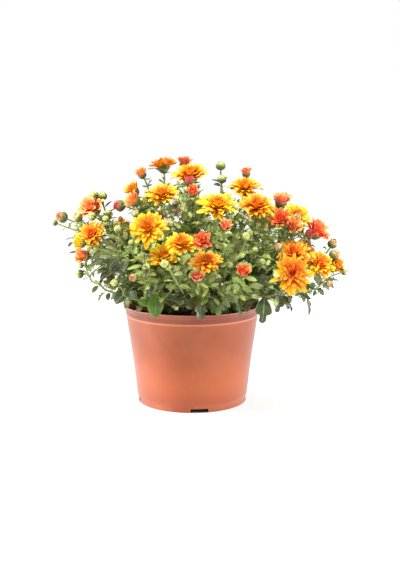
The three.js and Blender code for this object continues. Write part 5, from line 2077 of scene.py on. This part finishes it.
@dataclass
class Studio:
    """A pale floor that glows, with a painted contact shadow as a dark line under the pot and painted shade round it,
    soft lights and the camera. Each light looks at the target.
    """

    camera_place: Triple = (0.010, -1.120, 0.320)
    camera_tilt: float = 0.153
    lens: float = 56.4
    sensor: float = 36.0
    floor_size: float = 12.0
    floor_greys: Pair = (0.36, 0.34)
    # the floor glows as painted light: this much near the pot, fully beyond floor_fade, a painted shade round the pot
    floor_glow: float = 0.82
    floor_fade: Pair = (0.25, 1.1)
    # painted contact shadow: the distances from the axis over which the floor's glow comes back
    contact: Pair = (0.0668, 0.0708)
    sky_light: float = 0.28
    lights: tuple[tuple[str, Triple, float, float], ...] = (
        ("key", (-0.4, -0.55, 1.5), 0.45, 24.0),
        ("top", (0.2, 0.2, 1.6), 0.9, 18.0),
        ("left", (-1.3, -0.15, 0.2), 0.4, 15.6),
        ("right", (1.4, -0.3, 0.22), 0.44, 14.0),
    )
    target: Triple = (0, 0, 0.17)

    def build(self) -> None:
        """Sets up the floor, the sky, the lights and the camera."""
        self._floor()
        self._sky()
        for row in self.lights:
            self._light(*row)
        camera = bpy.data.cameras.new("camera")
        camera.lens, camera.sensor_width = self.lens, self.sensor
        stand = bpy.data.objects.new("camera", camera)
        stand.location = self.camera_place
        stand.rotation_euler = (math.pi / 2 - self.camera_tilt, 0, 0)
        link(stand)
        bpy.context.scene.camera = stand
        bpy.context.scene.view_settings.view_transform = "Standard"

    def _floor(self) -> None:
        """A large white sheet under the pot, which glows as painted light, less near the pot and not at all in a
        painted contact shadow under its foot.
        """
        half = self.floor_size / 2
        mesh = bpy.data.meshes.new("floor")
        mesh.from_pydata([(-half, -half, 0), (half, -half, 0), (half, half, 0), (-half, half, 0)], [], [(0, 1, 2, 3)])
        g = Graph("white_sheet", Emission_Strength=1.0, Specular_IOR_Level=0.0)
        soft, away = g.noise(g.place(), 3.0), g.length(g.place())
        light, dark, black, glow, white = (
            (level, level, level, 1.0) for level in (*self.floor_greys, 0.0, self.floor_glow, 1.0)
        )
        # painted shade: the sheet glows less near the pot
        glow = g.mix(g.step(away, *self.floor_fade), glow, white)
        # painted contact shadow: no glow under the pot and at its foot
        g.feed("Emission Color", g.mix(g.step(away, *self.contact), black, glow))
        mesh.materials.append(g.finish(g.mix(soft, light, dark), 0.8 + soft * 0.1))
        floor = bpy.data.objects.new("floor", mesh)
        link(floor)

    def _sky(self) -> None:
        """A white sky that lights the plant less than it shows."""
        world = bpy.data.worlds.new("white_sky")
        world.use_nodes = True
        tree = world.node_tree
        sky = tree.nodes["Background"]
        sky.inputs["Color"].default_value = (1, 1, 1, 1)
        path = tree.nodes.new("ShaderNodeLightPath")
        strength = tree.nodes.new("ShaderNodeMapRange")
        strength.inputs["To Min"].default_value = self.sky_light
        tree.links.new(path.outputs["Is Camera Ray"], strength.inputs["Value"])
        tree.links.new(strength.outputs["Result"], sky.inputs["Strength"])
        bpy.context.scene.world = world

    def _light(self, name: str, place: Triple, size: float, power: float) -> None:
        """A square soft light that looks at the plant."""
        light = bpy.data.lights.new(name, "AREA")
        light.size, light.energy = size, power
        lamp = bpy.data.objects.new(name, light)
        lamp.location = place
        way = np.array(self.target) - np.array(place)
        lamp.rotation_euler = (math.acos(-way[2] / np.linalg.norm(way)), 0, math.atan2(way[1], way[0]) - math.pi / 2)
        link(lamp)


def main() -> None:
    """Builds the pot, the soil, the plant and the studio."""
    logging.basicConfig(level=logging.INFO, format="%(name)s: %(message)s")
    rng = np.random.default_rng(SEED)
    Studio().build()
    NurseryPot().build([PotPlastic().material()])
    PottingSoil().build(rng, [DarkSoil().material()])
    Chrysanthemum().build(rng)


if __name__ == "__main__":
    main()
